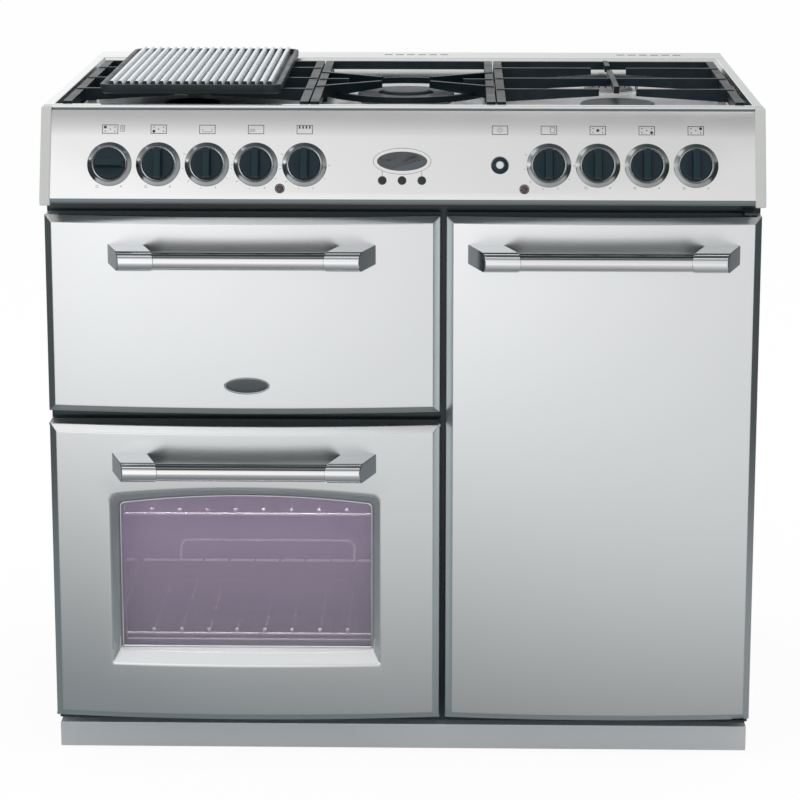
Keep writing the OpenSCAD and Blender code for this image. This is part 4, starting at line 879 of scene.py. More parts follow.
# %% [markdown]
# Two panes close the window. The outer one has a metallic film, which is why it looks mauve; the inner one is
# clear. A thin bright trim covers the edge where the film meets the steel.

# %% Window
window_x = door_size("main_door_panel")[0]


def slab(points, axis, value):
    """A flat shape through the points, thickened until its far side lies at a value on one axis."""
    part = bmesh.new()
    face = bmesh.ops.edgeloop_fill(part, edges=first_ring(part, points))["faces"]
    bmesh.ops.extrude_face_region(part, geom=face)
    for v in part.verts[len(points):]:
        v.co[axis] = value * MM
    return part


def pane(name, material, y0, y1):
    """A pane of the window, a little larger than the opening, between two depths."""
    points = [(window_x + x, y0, z) for x, z in window_ring(6, 6, 6, 6)]
    bm = slab(points, 1, y1)
    bmesh.ops.recalc_face_normals(bm, faces=bm.faces)
    soften(bm, 0.5, 1)
    publish(name, bm, finish[material], ["main_door_glass"], angle=20)


pane("window_outer_pane", "window_film", DOOR_Y + 8.1, DOOR_Y + 12)
pane("window_inner_pane", "window_glass", DOOR_BACK - 4, DOOR_BACK)

# Round the section of the trim: how far out from the opening, and how far behind DOOR_Y
TRIM_STEPS = [(-0.3, 8.0), (-0.3, 6.9), (-0.8, 6.4), (-1.7, 6.4), (-2.2, 6.9), (-2.2, 8.0)]
bm = bmesh.new()
rings = [[(window_x + x, DOOR_Y + y, z) for x, z in window_ring(side, side, 3.5 if side > -1 else 2, 6)]
         for side, y in TRIM_STEPS]
add_rings(bm, rings + rings[:1])
bmesh.ops.remove_doubles(bm, verts=bm.verts, dist=1e-6)
bmesh.ops.recalc_face_normals(bm, faces=bm.faces)
publish("window_edge_trim", bm, finish["wire_chrome"], ["window_trim"])
print("window panes and trim")

# %% [markdown]
# A small oval plate sits low in the middle of the grill door. It is a blank: dark enamel in a bright raised rim.

# %% Oval plate
OVAL_STEPS = 64


def add_oval(bm, half_x, half_z, profile, place, material=0):
    """A turned form stretched to an oval: profile is (inset, height), at a place whose Z is outward."""
    part = bmesh.new()
    turns = [i * math.tau / OVAL_STEPS for i in range(OVAL_STEPS)]
    rings = [[((half_x - inset) * math.cos(a), (half_z - inset) * math.sin(a), out) for a in turns]
             for inset, out in profile]
    bmesh.ops.edgeloop_fill(part, edges=add_rings(part, rings))
    bmesh.ops.edgeloop_fill(part, edges=[e for e in part.edges if e.is_boundary])
    bmesh.ops.recalc_face_normals(part, faces=part.faces)
    paint(part.faces, material)
    merge_into(bm, part, place)


PLATE_X, PLATE_Z, PLATE_HALF, PLATE_TALL, PLATE_RIM = -195.0, 499.6, 29.0, 11.0, 2.1
bm = bmesh.new()
plate_y = DOOR_Y - BEVEL_DEEP - bow(PLATE_X - grill_x, grill_half)
plate = place_at(PLATE_X, plate_y, PLATE_Z) @ Matrix.Rotation(math.pi / 2, 4, "X")
add_oval(bm, PLATE_HALF, PLATE_TALL,
         [(0, -0.8), (0, 0.5), (0.3, 1.0), (0.9, 1.25), (1.5, 1.1), (1.9, 0.8), (2.4, 0.8)], plate)
add_oval(bm, PLATE_HALF - PLATE_RIM, PLATE_TALL - PLATE_RIM,
         [(0, 0.4), (0, 0.75), (0.4, 0.95), (3.0, 1.15), (6.0, 1.25)], plate, 1)
publish("oval_plate", bm, [finish["bracket"], finish["badge"]], body=body_of["grill_door_panel"])
print("oval plate at", round(plate_y, 2))

# %% [markdown]
# A handle is a satin bar held by two polished brackets, which lean towards each other as they leave the door. The
# bracket's section is flat at the top with a round nose; it is extruded along the door and then sheared.

# %% Handles
BAR_REACH, BAR_R, BAR_END_R, NOSE_R = 63.0, 11.3, 10.4, 12.5
BRACKET_W, BRACKET_LEAN, HANDLE_HALF = 44.0, 18.0, 170.5


def add_bracket(bm, cx, z, side):
    """One bracket: its section, extruded along the door and sheared towards the other bracket."""
    y_root, y_tip = DOOR_Y - 7, DOOR_Y - BAR_REACH
    outer = cx + side * HANDLE_HALF
    section = [(y_root, z + NOSE_R), (y_root, z - NOSE_R)]
    section += [(y_tip - NOSE_R * math.sin(a), z - NOSE_R * math.cos(a))
                for a in (i * math.pi / 12 for i in range(13))]
    part = slab([(outer, y, z1) for y, z1 in section], 0, outer - side * BRACKET_W)
    for v in part.verts:
        v.co.x -= side * BRACKET_LEAN * MM * (v.co.y / MM - y_root) / (y_tip - y_root)
    bmesh.ops.recalc_face_normals(part, faces=part.faces)
    soften(part, 1.2, 3, 40)
    # The sides take the dark copy, painted shade, and the lower part of the nose takes the bright copy, a painted
    # highlight.
    for face in part.faces:
        if abs(face.normal.x) > 0.6:
            face.material_index = 2
        elif middle(face).y < y_tip + 0.5 and face.normal.z < 0.5:
            face.material_index = 1
    merge_into(bm, part)


def handle(name, panel, node):
    """Bar and brackets of one door."""
    cx = door_size(panel)[0]
    low, high = box_mm(node)
    z = (low.z + high.z) / 2
    bm = bmesh.new()
    for side in (-1, 1):
        add_bracket(bm, cx, z, side)
    publish(name + "_brackets", bm, [finish[key] for key in ("bracket", "nose_highlight", "bracket_side_shade")], [node], angle=35)
    bm = bmesh.new()
    half = HANDLE_HALF - BRACKET_LEAN - BRACKET_W + 1
    end = [(0, half), (BAR_END_R, half), (BAR_END_R, half - 2.6), (BAR_R, half - 3.2)]
    profile = [(r, -along) for r, along in end] + end[::-1]
    add_spun(bm, profile, place_at(cx, DOOR_Y - BAR_REACH, z) @ Matrix.Rotation(math.pi / 2, 4, "Y"), 40)
    soften(bm, 0.25, 2, 40)
    # The top and the back of the bar take a dark copy of its steel: a painted reflection of the dark ceiling above, and
    # painted shade towards the door.
    for face in bm.faces:
        face.material_index = int(face.normal.z > 0.42 or face.normal.y > 0.1)
    publish(name + "_bar", bm, [finish["bar_steel"], finish["bar_shade"]], [node])
    print(name, "bar", round(2 * half, 1), "mm at", round(z, 1))


for door in ("grill", "main", "tall"):
    handle(door + "_handle", door + "_door_panel", door + "_door_handle")

# %% [markdown]
# The control panel is one folded sheet. Its top edge is rolled back a little where it goes under the hob, and that
# roll is what shows as a darker band along the top. The CAD sheet is cut into strips near the edge and the strips
# are pushed back along a curve.

# %% Control panel
ROLL_LENGTH, ROLL_DEEP, ROLL_CUTS = 36.0, 3.2, range(3, 37, 3)
# How deep the strip of painted shade under the hob is, how far the lip at the foot is folded in, and how tall its band
# of painted shade is
SEAM, LIP_IN, FOOT_TALL = 1.8, 2.5, 9.0
inward = Vector((0, math.cos(LEAN), -math.sin(LEAN)))
down = Vector((0, -math.sin(LEAN), -math.cos(LEAN)))


def roll_back(bm, cuts):
    """Cuts the sheet into strips near its top edge and pushes them back along the panel's roll."""
    for drop in cuts:
        slice_at(bm, PANEL_TOP + down * drop, down)
    for v in bm.verts:
        drop = (v.co / MM - PANEL_TOP).dot(down)
        if drop < ROLL_LENGTH:
            v.co += inward * MM * ROLL_DEEP * ((ROLL_LENGTH - drop) / ROLL_LENGTH) ** 2


bm = merged_copy("control_panel")
roll_back(bm, (SEAM, *ROLL_CUTS))
lip = box_mm("control_panel")[0]
for v in bm.verts:
    if v.co.z / MM < lip.z + 0.5 and v.co.y / MM < lip.y + 3:
        v.co.y += LIP_IN * MM
soften(bm, 0.8, 3, 30)
# The narrow strip where the sheet goes under the hob, and the lip at its foot, take the darker copy of the steel:
# painted shade.
for face in bm.faces:
    at_seam = (middle(face) - PANEL_TOP).dot(down) < SEAM
    if at_seam or middle(face).z < lip.z + FOOT_TALL and face.normal.z < 0.2:
        face.material_index = 1
publish("control_fascia", bm, [finish["stainless"], finish["panel_shade"]], ["control_panel"], angle=25)
carried("panel_end_caps", 2.2, segments=3)

# %% [markdown]
# Each knob is a round skirt with a finger grip across it. The skirt is spun from a profile; the grip is a block
# that narrows towards its top, with rounded edges, because a moulding has to leave its mould. The first knob is
# turned a quarter turn in the photograph and the CAD, so its grip lies across.

# %% Knobs
KNOB_X = [-363.6, -303, -242.4, -181.8, -121.2, 181.8, 242.4, 303, 363.6]
KNOB_DROP, KNOB_H, GRIP_FOOT, GRIP_HALF, GRIP_REACH = 70.8, 19.0, 5.0, 5.9, 19.4
# How much narrower and shorter the grip is at its top, as shares of its foot
GRIP_NARROWS, GRIP_SHORTENS = 0.26, 0.07


def upright_edges(part):
    """The edges that climb from the foot of a block to its top."""
    return [e for e in part.edges if abs(e.verts[0].co.z - e.verts[1].co.z) > 3 * MM]


def knob_piece(index, x, turn):
    """One knob: skirt, spindle socket and grip, turned about its own axis."""
    place = on_face(x, KNOB_DROP) @ Matrix.Rotation(turn, 4, "Z")
    bm = bmesh.new()
    add_spun(bm, [(0, 0.9), (19.2, 0.9), (20.0, 1.4), (20.2, 2.2), (20.2, 5.4), (19.9, 6.6), (19.0, 7.5),
                  (17.6, 7.9), (14.0, 7.6), (0, 7.2)], place, 64)
    add_spun(bm, [(0, -10), (3, -10), (3, 2), (0, 2)], place, 16)
    part = bmesh.new()
    add_block(part, (-GRIP_HALF, -GRIP_REACH, GRIP_FOOT), (GRIP_HALF, GRIP_REACH, KNOB_H))
    slice_at(part, (0, 0, (GRIP_FOOT + KNOB_H) / 2), (0, 0, 1))
    for v in part.verts:
        rise = (v.co.z / MM - GRIP_FOOT) / (KNOB_H - GRIP_FOOT)
        v.co.x *= 1 - GRIP_NARROWS * rise
        v.co.y *= 1 - GRIP_SHORTENS * rise * rise
    bevel_edges(part, upright_edges(part), 2.4, 4)
    soften(part, 1.0, 3, 40)
    merge_into(bm, part, place)
    publish(f"knob_{index}_moulding", bm, finish["knob_plastic"], [f"knob_{index}"])


for index, x in enumerate(KNOB_X, 1):
    knob_piece(index, x, math.pi / 2 if index == 1 else 0.0)
print(len(KNOB_X), "knobs")

# %% [markdown]
# Behind each knob lies a turned ring with a sloping rim. Under one lamp it shows a dark top and one bright wedge,
# as any turned cone does. A thin raised lip runs round the inside, and a small dot marks the off position.

# %% Bezel rings
FILM, OFF_MARK_UP, OFF_MARK_OUT = 0.06, 25.4, 2.2
bm = bmesh.new()
for x in KNOB_X:
    add_spun(bm, [(21.2, 0.1), (27.7, 0.1), (27.7, 1.0), (27.45, 1.6), (26.9, 1.95), (23.6, 3.4), (23.0, 3.7),
                  (22.6, 3.5), (22.2, 3.7), (21.7, 3.6), (21.2, 3.1), (21.2, 0.1)], on_face(x, KNOB_DROP), 72)
publish("bezel_rings", bm, finish["bezel_steel"], ["knob_bezels"], angle=20)


def dot_mark(bm, x, y, radius, place, lift=FILM):
    """A printed or moulded dot, on a place whose Z is outward."""
    add_spun(bm, [(0, -0.05), (radius, -0.05), (radius, lift - 0.02), (radius - 0.03, lift), (0, lift)],
             place @ place_at(x, y, 0), 20)


bm = bmesh.new()
for x in KNOB_X:
    dot_mark(bm, 0, OFF_MARK_UP, 1.1, on_face(x, KNOB_DROP, OFF_MARK_OUT), 0.6)
publish("off_marks", bm, finish["print"], body="root")

# %% [markdown]
# The small prints above the knobs say which burner or oven a knob serves: an outline with a dot or a few strokes
# in it. They are drawn here from plain bars a few hundredths of a millimetre thick, as a printed film would be.

# %% Prints
MARK_DROP, MARK_W, MARK_H, LINE = 26.5, 20.0, 11.5, 0.75
IGNITION_X, RING_OF_MARKS, DOT_BIG, DOT_SMALL = 121.2, 31.8, 1.9, 0.75
BURNER_DOTS = [(-6, 2.6), (-6, -2.6), (6, -2.6), (6, 2.6), (0, 0)]
CHOSEN = {1: 0, 2: 1, 7: 4, 8: 2, 9: 3}  # a gas knob, and which of the dots its burner is
OVEN_STROKES = {
    3: [(-6, -3.4, 6, -2.9), (-6, -3.4, -5.5, 0.5), (5.5, -3.4, 6, 0.5)],
    4: [(-8, -2.6, -1, -2.2), (-8, -1.2, -1, -0.8), (-8, 0.2, -1, 0.6)],
    5: [(-7.3 + 4.2 * i, 1.2, -5.4 + 4.2 * i, 4.6) for i in range(4)],
    6: [(1.5, -3.6, 2.0, 3.6), (1.5, 3.1, 7.5, 3.6), (7.0, -3.6, 7.5, 3.6), (1.5, -3.6, 7.5, -3.1)],
}


def flat_mark(bm, bars, place):
    """A thin print: bars (x0, y0, x1, y1) in millimetres, on a place whose Z is outward."""
    part = bmesh.new()
    for x0, y0, x1, y1 in bars:
        add_block(part, (x0, y0, -0.05), (x1, y1, FILM), 0.02, 1)
    merge_into(bm, part, place)


def frame_mark(bm, place):
    """The outline round a symbol."""
    x, y = MARK_W / 2, MARK_H / 2
    flat_mark(bm, [(-x, -y, x, -y + LINE), (-x, y - LINE, x, y), (-x, -y, -x + LINE, y), (x - LINE, -y, x, y)], place)


bm = bmesh.new()
for index, x in enumerate(KNOB_X, 1):
    place = on_face(x, MARK_DROP)
    frame_mark(bm, place)
    if index in CHOSEN:
        for k, (u, v) in enumerate(BURNER_DOTS):
            dot_mark(bm, u, v, DOT_BIG if k == CHOSEN[index] else DOT_SMALL, place)
    if index == 1:
        # A ribbed plate beside the first symbol: this burner heats the griddle
        flat_mark(bm, [(13, -3, 13.5, 5), (17.5, -3, 18, 5), (13, -3, 18, -2.5), (13, 4.5, 18, 5),
                       (14.6, -1.6, 15, 3.6), (16.0, -1.6, 16.4, 3.6)], place)
for index, strokes in OVEN_STROKES.items():
    flat_mark(bm, strokes, on_face(KNOB_X[index - 1], MARK_DROP))
spark = on_face(IGNITION_X, MARK_DROP)
frame_mark(bm, spark)
for turn in range(8):
    flat_mark(bm, [(1.4, -0.2, 3.6 if turn % 2 else 4.2, 0.2)], spark @ Matrix.Rotation(turn * math.pi / 4, 4, "Z"))
# Steps of heat round the oven knobs, and a flame's two sizes round the gas knobs
for index, x in enumerate(KNOB_X, 1):
    place = on_face(x, KNOB_DROP)
    if index in CHOSEN:
        for turn, size in ((-118, 1.7), (-62, 1.0)):
            mark = place @ Matrix.Rotation(math.radians(turn), 4, "Z") @ place_at(RING_OF_MARKS, 0, 0)
            add_spun(bm, from_edge(size, [(-0.4, -0.05), (0, -0.05), (0, FILM), (-0.4, FILM), (-0.4, -0.05)]), mark, 20)
    else:
        for k in range(7):
            turn = place @ Matrix.Rotation(math.radians(-205 + k * 34), 4, "Z")
            flat_mark(bm, [(29.6, -0.25, 31.4 if k % 2 else 32.4, 0.25)], turn)
roll_back(bm, ROLL_CUTS)
publish("panel_prints", bm, finish["print"], body="root")
print("prints done")

# %% [markdown]
# The clock is a pointed oval window with three buttons below it. One thin printed oval frames it, and a short stem
# leads down to each outer button. A circle squeezed with a power of its own width gives the pointed ends.

# %% Clock
CLOCK_DROP, CLOCK_HALF, CLOCK_TALL, CLOCK_OUT = 66.0, 31.0, 12.0, 1.0
OUTLINE_HALF, OUTLINE_TALL, OUTLINE_W, OUTLINE_STEPS, OUTLINE_UP = 36.0, 16.6, 0.5, 96, 0.05
BUTTON_X, STEM_DROP, STEM_HALF = 24.5, 15.4, 2.9
bm = bmesh.new()
for v in bmesh.ops.create_circle(bm, cap_ends=True, segments=72, radius=CLOCK_HALF * MM)["verts"]:
    u = v.co.x / (CLOCK_HALF * MM)
    v.co.y = math.copysign(CLOCK_TALL * MM * max(0.0, 1 - u * u) ** 0.68, v.co.y)
    v.co.z = -0.3 * MM
top = bmesh.ops.extrude_face_region(bm, geom=bm.faces[:])["geom"]
for v in (g for g in top if isinstance(g, bmesh.types.BMVert)):
    v.co.z = CLOCK_OUT * MM
bmesh.ops.recalc_face_normals(bm, faces=bm.faces)
soften(bm, 0.5, 2, 40)
bmesh.ops.transform(bm, matrix=on_face(0, CLOCK_DROP), verts=bm.verts)
publish("clock_window", bm, finish["display"], ["clock_unit"])
bm = merged_copy("clock_unit")
proud = [f for f in bm.faces if (middle(f) - PANEL_TOP).dot(inward) < -0.5]
bmesh.ops.delete(bm, geom=proud, context="FACES")
bmesh.ops.holes_fill(bm, edges=bm.edges)
publish("clock_housing", bm, finish["casing"], ["clock_unit"])

turns = [i * math.tau / OUTLINE_STEPS for i in range(OUTLINE_STEPS)]
outer = [Vector((OUTLINE_HALF * math.cos(a), OUTLINE_TALL * math.sin(a), 0)) for a in turns]
part = bmesh.new()
add_rings(part, [[(*(p.xy * share), OUTLINE_UP) for p, share in zip(outer, shares)]
                 for shares in ([1] * OUTLINE_STEPS, [1 - OUTLINE_W / p.length for p in outer])])
for x in (-BUTTON_X, BUTTON_X):
    stem = Matrix.Diagonal((OUTLINE_W / 2 * MM, STEM_HALF * MM, MM, 1))
    bmesh.ops.create_grid(part, x_segments=1, y_segments=2, size=1,
                          matrix=place_at(x, -STEM_DROP, OUTLINE_UP) @ stem)
bmesh.ops.transform(part, matrix=on_face(0, CLOCK_DROP), verts=part.verts)
line = publish("clock_outline", part, finish["print"], body="root")
thick = line.modifiers.new("film", "SOLIDIFY")
thick.thickness = 0.08 * MM
thick.offset = 0
print("clock", 2 * CLOCK_HALF, "x", 2 * CLOCK_TALL, "mm")

# %% [markdown]
# Buttons and lamps are turned pieces in the fascia's holes, and each ring round them is a closed profile spun
# about the same axis. The ignition button is white in a black ring, and two neon lamps flank the clock lower down.

# %% Buttons and lamps
BUTTON_DROP, LAMP_X, LAMP_DROP = 90.3, 151.5, 100.8
for index, x in enumerate((-BUTTON_X, 0, BUTTON_X), 1):
    bm = bmesh.new()
    add_spun(bm, [(0, -5.3), (6.8, -5.3), (6.8, -3.3), (5.4, -3.3), (5.4, 1.0), (5.1, 1.5), (4.4, 1.75), (0, 1.6)],
             on_face(x, BUTTON_DROP), 40)
    publish(f"clock_button_{index}_cap", bm, finish["dark_plastic"], [f"clock_button_{index}"])

low, high = box_mm("ignition_button")
radius = (high.x - low.x) / 2 - 1.4
place = on_face(IGNITION_X, KNOB_DROP)
bm = bmesh.new()
cap = from_edge(radius, [(1.4, -5.3), (1.4, -3.3), (0, -3.3), (0, 1.9), (-0.5, 2.4), (-1.6, 2.6)])
add_spun(bm, [(0, -5.3), *cap, (0, 2.3)], place, 48)
publish("ignition_cap", bm, finish["white_plastic"], ["ignition_button"])
print("ignition radius", round(radius, 2))
bm = bmesh.new()
add_spun(bm, from_edge(radius, [(0.3, 0.05), (5.2, 0.05), (5.2, 0.8), (4.4, 2.2), (2.2, 3.2), (0.6, 3.2), (0.3, 2.8),
                                (0.3, 0.05)]), place, 56)
publish("ignition_ring", bm, finish["knob_plastic"], body="root")
bm = bmesh.new()
add_spun(bm, from_edge(radius, [(5.3, 0.0), (6.2, 0.0), (6.2, 0.7), (5.8, 1.1), (5.3, 0.9), (5.3, 0.0)]), place, 56)
publish("ignition_trim", bm, finish["bezel_steel"], body="root")

radius = box_mm("indicator_lamps")[1].x - LAMP_X - 2
rim = from_edge(radius, [(0.4, 0.0), (1.6, 0.0), (1.6, 0.6), (1.1, 1.0), (0.4, 0.8), (0.4, 0.0)])
lens = [(0, -18), (radius, -18), (radius, 0.6), (radius - 0.4, 1.5), (radius - 1.4, 2.2), (0, 2.5)]
rims, lenses = bmesh.new(), bmesh.new()
for x in (-LAMP_X, LAMP_X):
    add_spun(rims, rim, on_face(x, LAMP_DROP), 40)
    add_spun(lenses, lens, on_face(x, LAMP_DROP), 36)
publish("lamp_rims", rims, finish["dark_plastic"], body="root")
publish("lamp_lenses", lenses, finish["lamp_red"], ["indicator_lamps"])
print("lamp radius", round(radius, 2))

# %% [markdown]
# The hob is one deep-drawn sheet, so its CAD shape is carried over with rounded edges, and the floor of its well
# takes a paler, more matt copy of its steel, which is painted light. The slots in the vent strip are too fine to look
# into, so each gets a dark block under it, and the faces round each slot are darkened: painted shade.

# %% Hob
bm = merged_copy("hob_top")
soften(bm, 1.1, 3, 30)
# The well's floor takes the paler copy of the steel: painted light.
paint([f for f in bm.faces if middle(f).z < 824 and f.normal.z > 0.7], 1)
publish("hob_sheet", bm, [finish["hob"], finish["well"]], ["hob_top"], angle=25)

VENT_GROUPS, VENT_COUNT, VENT_STEP, VENT_HALF = (-342, 9, 342), 6, 16.0, 5.0
VENT_FRONT, VENT_REAR, VENT_ROUND = 291.25, 297.25, 0.7
slots = [group + (i - (VENT_COUNT - 1) / 2) * VENT_STEP for group in VENT_GROUPS for i in range(VENT_COUNT)]
bm = merged_copy("rear_vent_trim")
soften(bm, 0.6, 2, 30)
# The small faces round each slot, and the blocks under them, take the dark finish: painted shade.
for face in bm.faces:
    x, y, z = middle(face)
    near_slot = any(abs(x - slot) < VENT_HALF + VENT_ROUND for slot in slots)
    if near_slot and VENT_FRONT - VENT_ROUND < y < VENT_REAR + VENT_ROUND and face.calc_area() < 3e-5:
        face.material_index = 1
vent_top = box_mm("rear_vent_trim")[1].z
for x in slots:
    add_block(bm, (x - VENT_HALF, VENT_FRONT, vent_top - 3), (x + VENT_HALF, VENT_REAR, vent_top - 0.4), 0.2, 1, 1)
publish("vent_strip", bm, [finish["hob"], finish["painted_shadow"]], ["rear_vent_trim"], angle=25)
print(len(slots), "slots")

# %% [markdown]
# Round each burner the real sheet has a shallow pressed saucer, which is spun here and laid on the well's floor.
# The caps are spun too. The burner in the middle is a wok burner: its cap is a ring with a small cap inside.

# %% Burners
WELL_Z, CAP_Z, WOK_R = 822.0, 832.0, 64
BURNERS = [(-275, -116.75, 36), (-275, 112.25, 36), (275, -116.75, 48), (275, 112.25, 36), (0, -12.75, WOK_R)]
saucers, caps = bmesh.new(), bmesh.new()
for x, y, r in BURNERS:
    saucer = [(-2, 0.15), (-2, 1.6), (2, 1.9), (9, 0.9), (12, 0.25), (12, 0.05), (-2, 0.15)]
    add_spun(saucers, from_edge(r, saucer), place_at(x, y, WELL_Z), 64)
    place = place_at(x, y, CAP_Z)
    edge = from_edge(r, [(-0.6, 0), (0, 0.6), (0, 1.8), (-0.8, 3.0), (-2.4, 3.5)])
    if r == WOK_R:
        bore = r * 0.58
        add_spun(caps, [(bore, 0), *edge, (bore + 1.2, 3.5), (bore, 2.8), (bore, 0)], place, 72)
        add_spun(caps, [(0, -6), (r * 0.5, -6), (r * 0.5, 4.6), (r * 0.485, 6.2), (r * 0.45, 7), (0, 6.6)], place, 56)
    else:
        add_spun(caps, [(0, 0), *edge, (r - 6, 3.5), (r - 9, 3.1), (0, 3.1)], place, 64)
# The saucers take the well's paler copy of the steel: painted light.
publish("burner_saucers", saucers, finish["well"], body="root")
carried("burner_bodies", 0.6)
carried("burner_crowns", 0.35, segments=1)
publish("burner_lids", caps, finish["burner_enamel"], ["burner_caps"])
print(len(BURNERS), "burners")

# %% [markdown]
# The pan supports are castings: every edge is rounded by the mould, and the skin is rough. Their CAD bars are merged
# and bevelled by a millimetre or so.

# %% Pan supports
for side in ("left", "centre", "right"):
    bm = merged_copy(f"pan_support_{side}")
    soften(bm, 1.3, 3, 25)
    piece = publish(f"support_{side}_casting", bm, finish["cast_iron"], [f"pan_support_{side}"])
    print(piece.name, len(piece.data.polygons))

# %% [markdown]
# The griddle is a shallow tray with rounded corners and twenty ribs. Its wall is made of rings of corners, one
# inside the other, from the underside, over the rim and down to the floor; each rib is a bar that narrows upwards.

# %% Griddle
GX, GY, GZ = (-388.0, -156.0), (-184.75, 230.25), (853.3, 869.3)
RIM_Z, RIBS, RIB_MARGIN, RIB_HALF, RIB_FOOT, RIB_LOW, RIB_TOP = GZ[1] - 3.6, 20, 15.0, 199.5, 4.7, 5.5, 15.9
griddle_x, griddle_y = sum(GX) / 2, sum(GY) / 2


def tray_ring(inset, z, r):
    """The tray's outline, in from its edge by inset, with corners of a radius."""
    half_x, half_y = (GX[1] - GX[0]) / 2 - inset, (GY[1] - GY[0]) / 2 - inset
    return [(griddle_x + x, griddle_y + y, z) for x, y in outline(half_x, -half_y, half_y, 0, r, r)]


TRAY = [(4, GZ[0], 12), (1.0, GZ[0] + 1.6, 15), (0, GZ[0] + 4, 16), (0, RIM_Z - 1.6, 16), (0.5, RIM_Z - 0.5, 15.5),
        (1.6, RIM_Z, 14.5), (4.2, RIM_Z, 12), (5.4, RIM_Z - 0.5, 11), (6.0, RIM_Z - 1.6, 10), (7.0, GZ[0] + 8.0, 9),
        (8.0, GZ[0] + 6.6, 8), (10.0, GZ[0] + 6.0, 7)]
bm = bmesh.new()
bmesh.ops.edgeloop_fill(bm, edges=add_rings(bm, [tray_ring(*t) for t in TRAY]))
bmesh.ops.edgeloop_fill(bm, edges=[e for e in bm.edges if e.is_boundary])
bmesh.ops.recalc_face_normals(bm, faces=bm.faces)
# The tray takes the dark copy of the iron: painted shade.
paint(bm.faces, 1)
for i in range(RIBS):
    x = GX[0] + RIB_MARGIN + i * (GX[1] - GX[0] - 2 * RIB_MARGIN) / (RIBS - 1)
    part = bmesh.new()
    add_block(part, (-RIB_FOOT, -RIB_HALF, RIB_LOW), (RIB_FOOT, RIB_HALF, RIB_TOP))
    for v in part.verts:
        if v.co.z > 10 * MM:
            v.co.x *= 0.46
            v.co.y *= 0.992
    bevel_edges(part, upright_edges(part), 1.2, 2)
    soften(part, 2.0, 4, 35)
    # The ends of each rib take the dark copy too: painted shade.
    paint([f for f in part.faces if abs(f.normal.y) > 0.25], 1)
    merge_into(bm, part, place_at(x, griddle_y, GZ[0]))
griddle = publish("griddle_casting", bm, [finish["griddle_iron"], finish["griddle_shade"]], ["griddle"])
print("griddle", len(griddle.data.polygons), "faces")

# %% [markdown]
# The rest of the casing is folded sheet whose CAD shape is right. Each piece is carried over with the small bend
# radius that folding leaves, and gets its own finish.

# %% Casing
BENDS = {  # how far each sheet's or casting's edges are rounded, in millimetres
    "base_frame": 0.6, "side_panels": 0.9, "back_panel": 0.4, "front_frame": 0.6, "plinth": 0.9,
    "control_valves": 0.5, "fan_motors": 0.8, "levelling_feet": 0.8, "grill_cavity": 0.6, "main_oven_cavity": 0.6,
    "tall_oven_cavity": 0.6, "fan_covers": 0.4, "main_oven_fan": 0.3, "tall_oven_fan": 0.3, "shelf_runners": 0.4,
    "grill_pan": 0.7, "grill_door_liner": 0.5, "main_door_liner": 0.5, "tall_door_liner": 0.5,
}
for node, width in BENDS.items():
    carried(node, width)
carried("hinge_brackets", 0.5, finish["frame_enamel"])

# %% [markdown]
# Door seals are soft profiles round each oven mouth. Their CAD frames keep their place; the section is rounded so
# that it reads as rubber.

# %% Seals
carried("door_seals", 1.1, segments=4)

# %% [markdown]
# A wire shelf is made of round wires welded to cross wires. The wires that the photograph shows as dots are their
# front ends, which turn up to stop a dish from sliding off.

# %% Wire shelves
WIRE_STEP, WIRE_R, CROSS_R, DOT_R = 36.4, 2.0, 1.3, 2.6
SHELF_FRONT, SHELF_BACK, FENCE_HALF, FENCE_UP, FENCE_CORNER = -212.75, 119.25, 124.0, 32.0, 8.0


def add_ball(bm, x, y, z, radius):
    """A small round blob, in millimetres."""
    bmesh.ops.create_icosphere(bm, subdivisions=2, radius=radius * MM, matrix=place_at(x, y, z))


def add_wire(bm, points, radius, segments=12):
    """One bent wire: a rod between each two points, and a ball that rounds each corner."""
    for start, end in zip(points, points[1:]):
        add_rod(bm, start, end, radius, segments)
    for point in points[1:-1]:
        add_ball(bm, *point, radius * 1.02)


def wire_shelf(bm, x0, x1, z):
    """One shelf: its cross wires and side rods, the dots at its front, the front and back rods, and the fence."""
    y0, y1, cx = SHELF_FRONT, SHELF_BACK, (x0 + x1) / 2
    count = int((x1 - x0) / WIRE_STEP / 2) * 2
    places = [cx + (i - (count - 1) / 2) * WIRE_STEP for i in range(count)]
    shelf = bmesh.new()
    for x in places:
        bent = [(x, y0 + 1, z + 6.6), (x, y0 + 2, z + 4.6), (x, y0 + 7, z + 3.2), (x, y1, z + 3.2)]
        add_wire(shelf, bent, CROSS_R, 10)
    for x in (x0 + 2, x1 - 2):
        add_rod(shelf, (x, y0, z + 2), (x, y1, z + 2), WIRE_R)
    # What is made so far takes the darker rod steel. The dots, the front and back rods and the fence that follow take
    # the pale matt copy of the wire steel: painted light.
    paint(shelf.faces, 1)
    for x in places:
        add_ball(shelf, x, y0 + 1, z + 7.4, DOT_R)
    for y in (y0, y1):
        add_rod(shelf, (x0, y, z + 2), (x1, y, z + 2), WIRE_R)
    left = [(-FENCE_HALF, 2), (-FENCE_HALF, FENCE_UP - FENCE_CORNER), (-FENCE_HALF + FENCE_CORNER, FENCE_UP)]
    fence = left + [(-u, up) for u, up in left[::-1]]
    add_wire(shelf, [(cx + u, y1, z + up) for u, up in fence], WIRE_R)
    merge_into(bm, shelf)


for node, levels in (("main_oven_shelves", (143, 306)), ("tall_oven_shelves", (190, 330, 450, 570))):
    low, high = box_mm(node)
    bm = bmesh.new()
    for z in levels:
        wire_shelf(bm, low.x, high.x, z)
    publish(node + "_wires", bm, [finish["lit_shelf_wire"], finish["shelf_rod"]], [node], angle=60)
    print(node, len(levels), "shelves")

# %% [markdown]
# A heating element is a steel tube bent into loops. Straight tubes are cones with equal ends; each bend is a
# circle spun half way round. The grill's element hangs from two crossbars, and a ring lies round each fan.

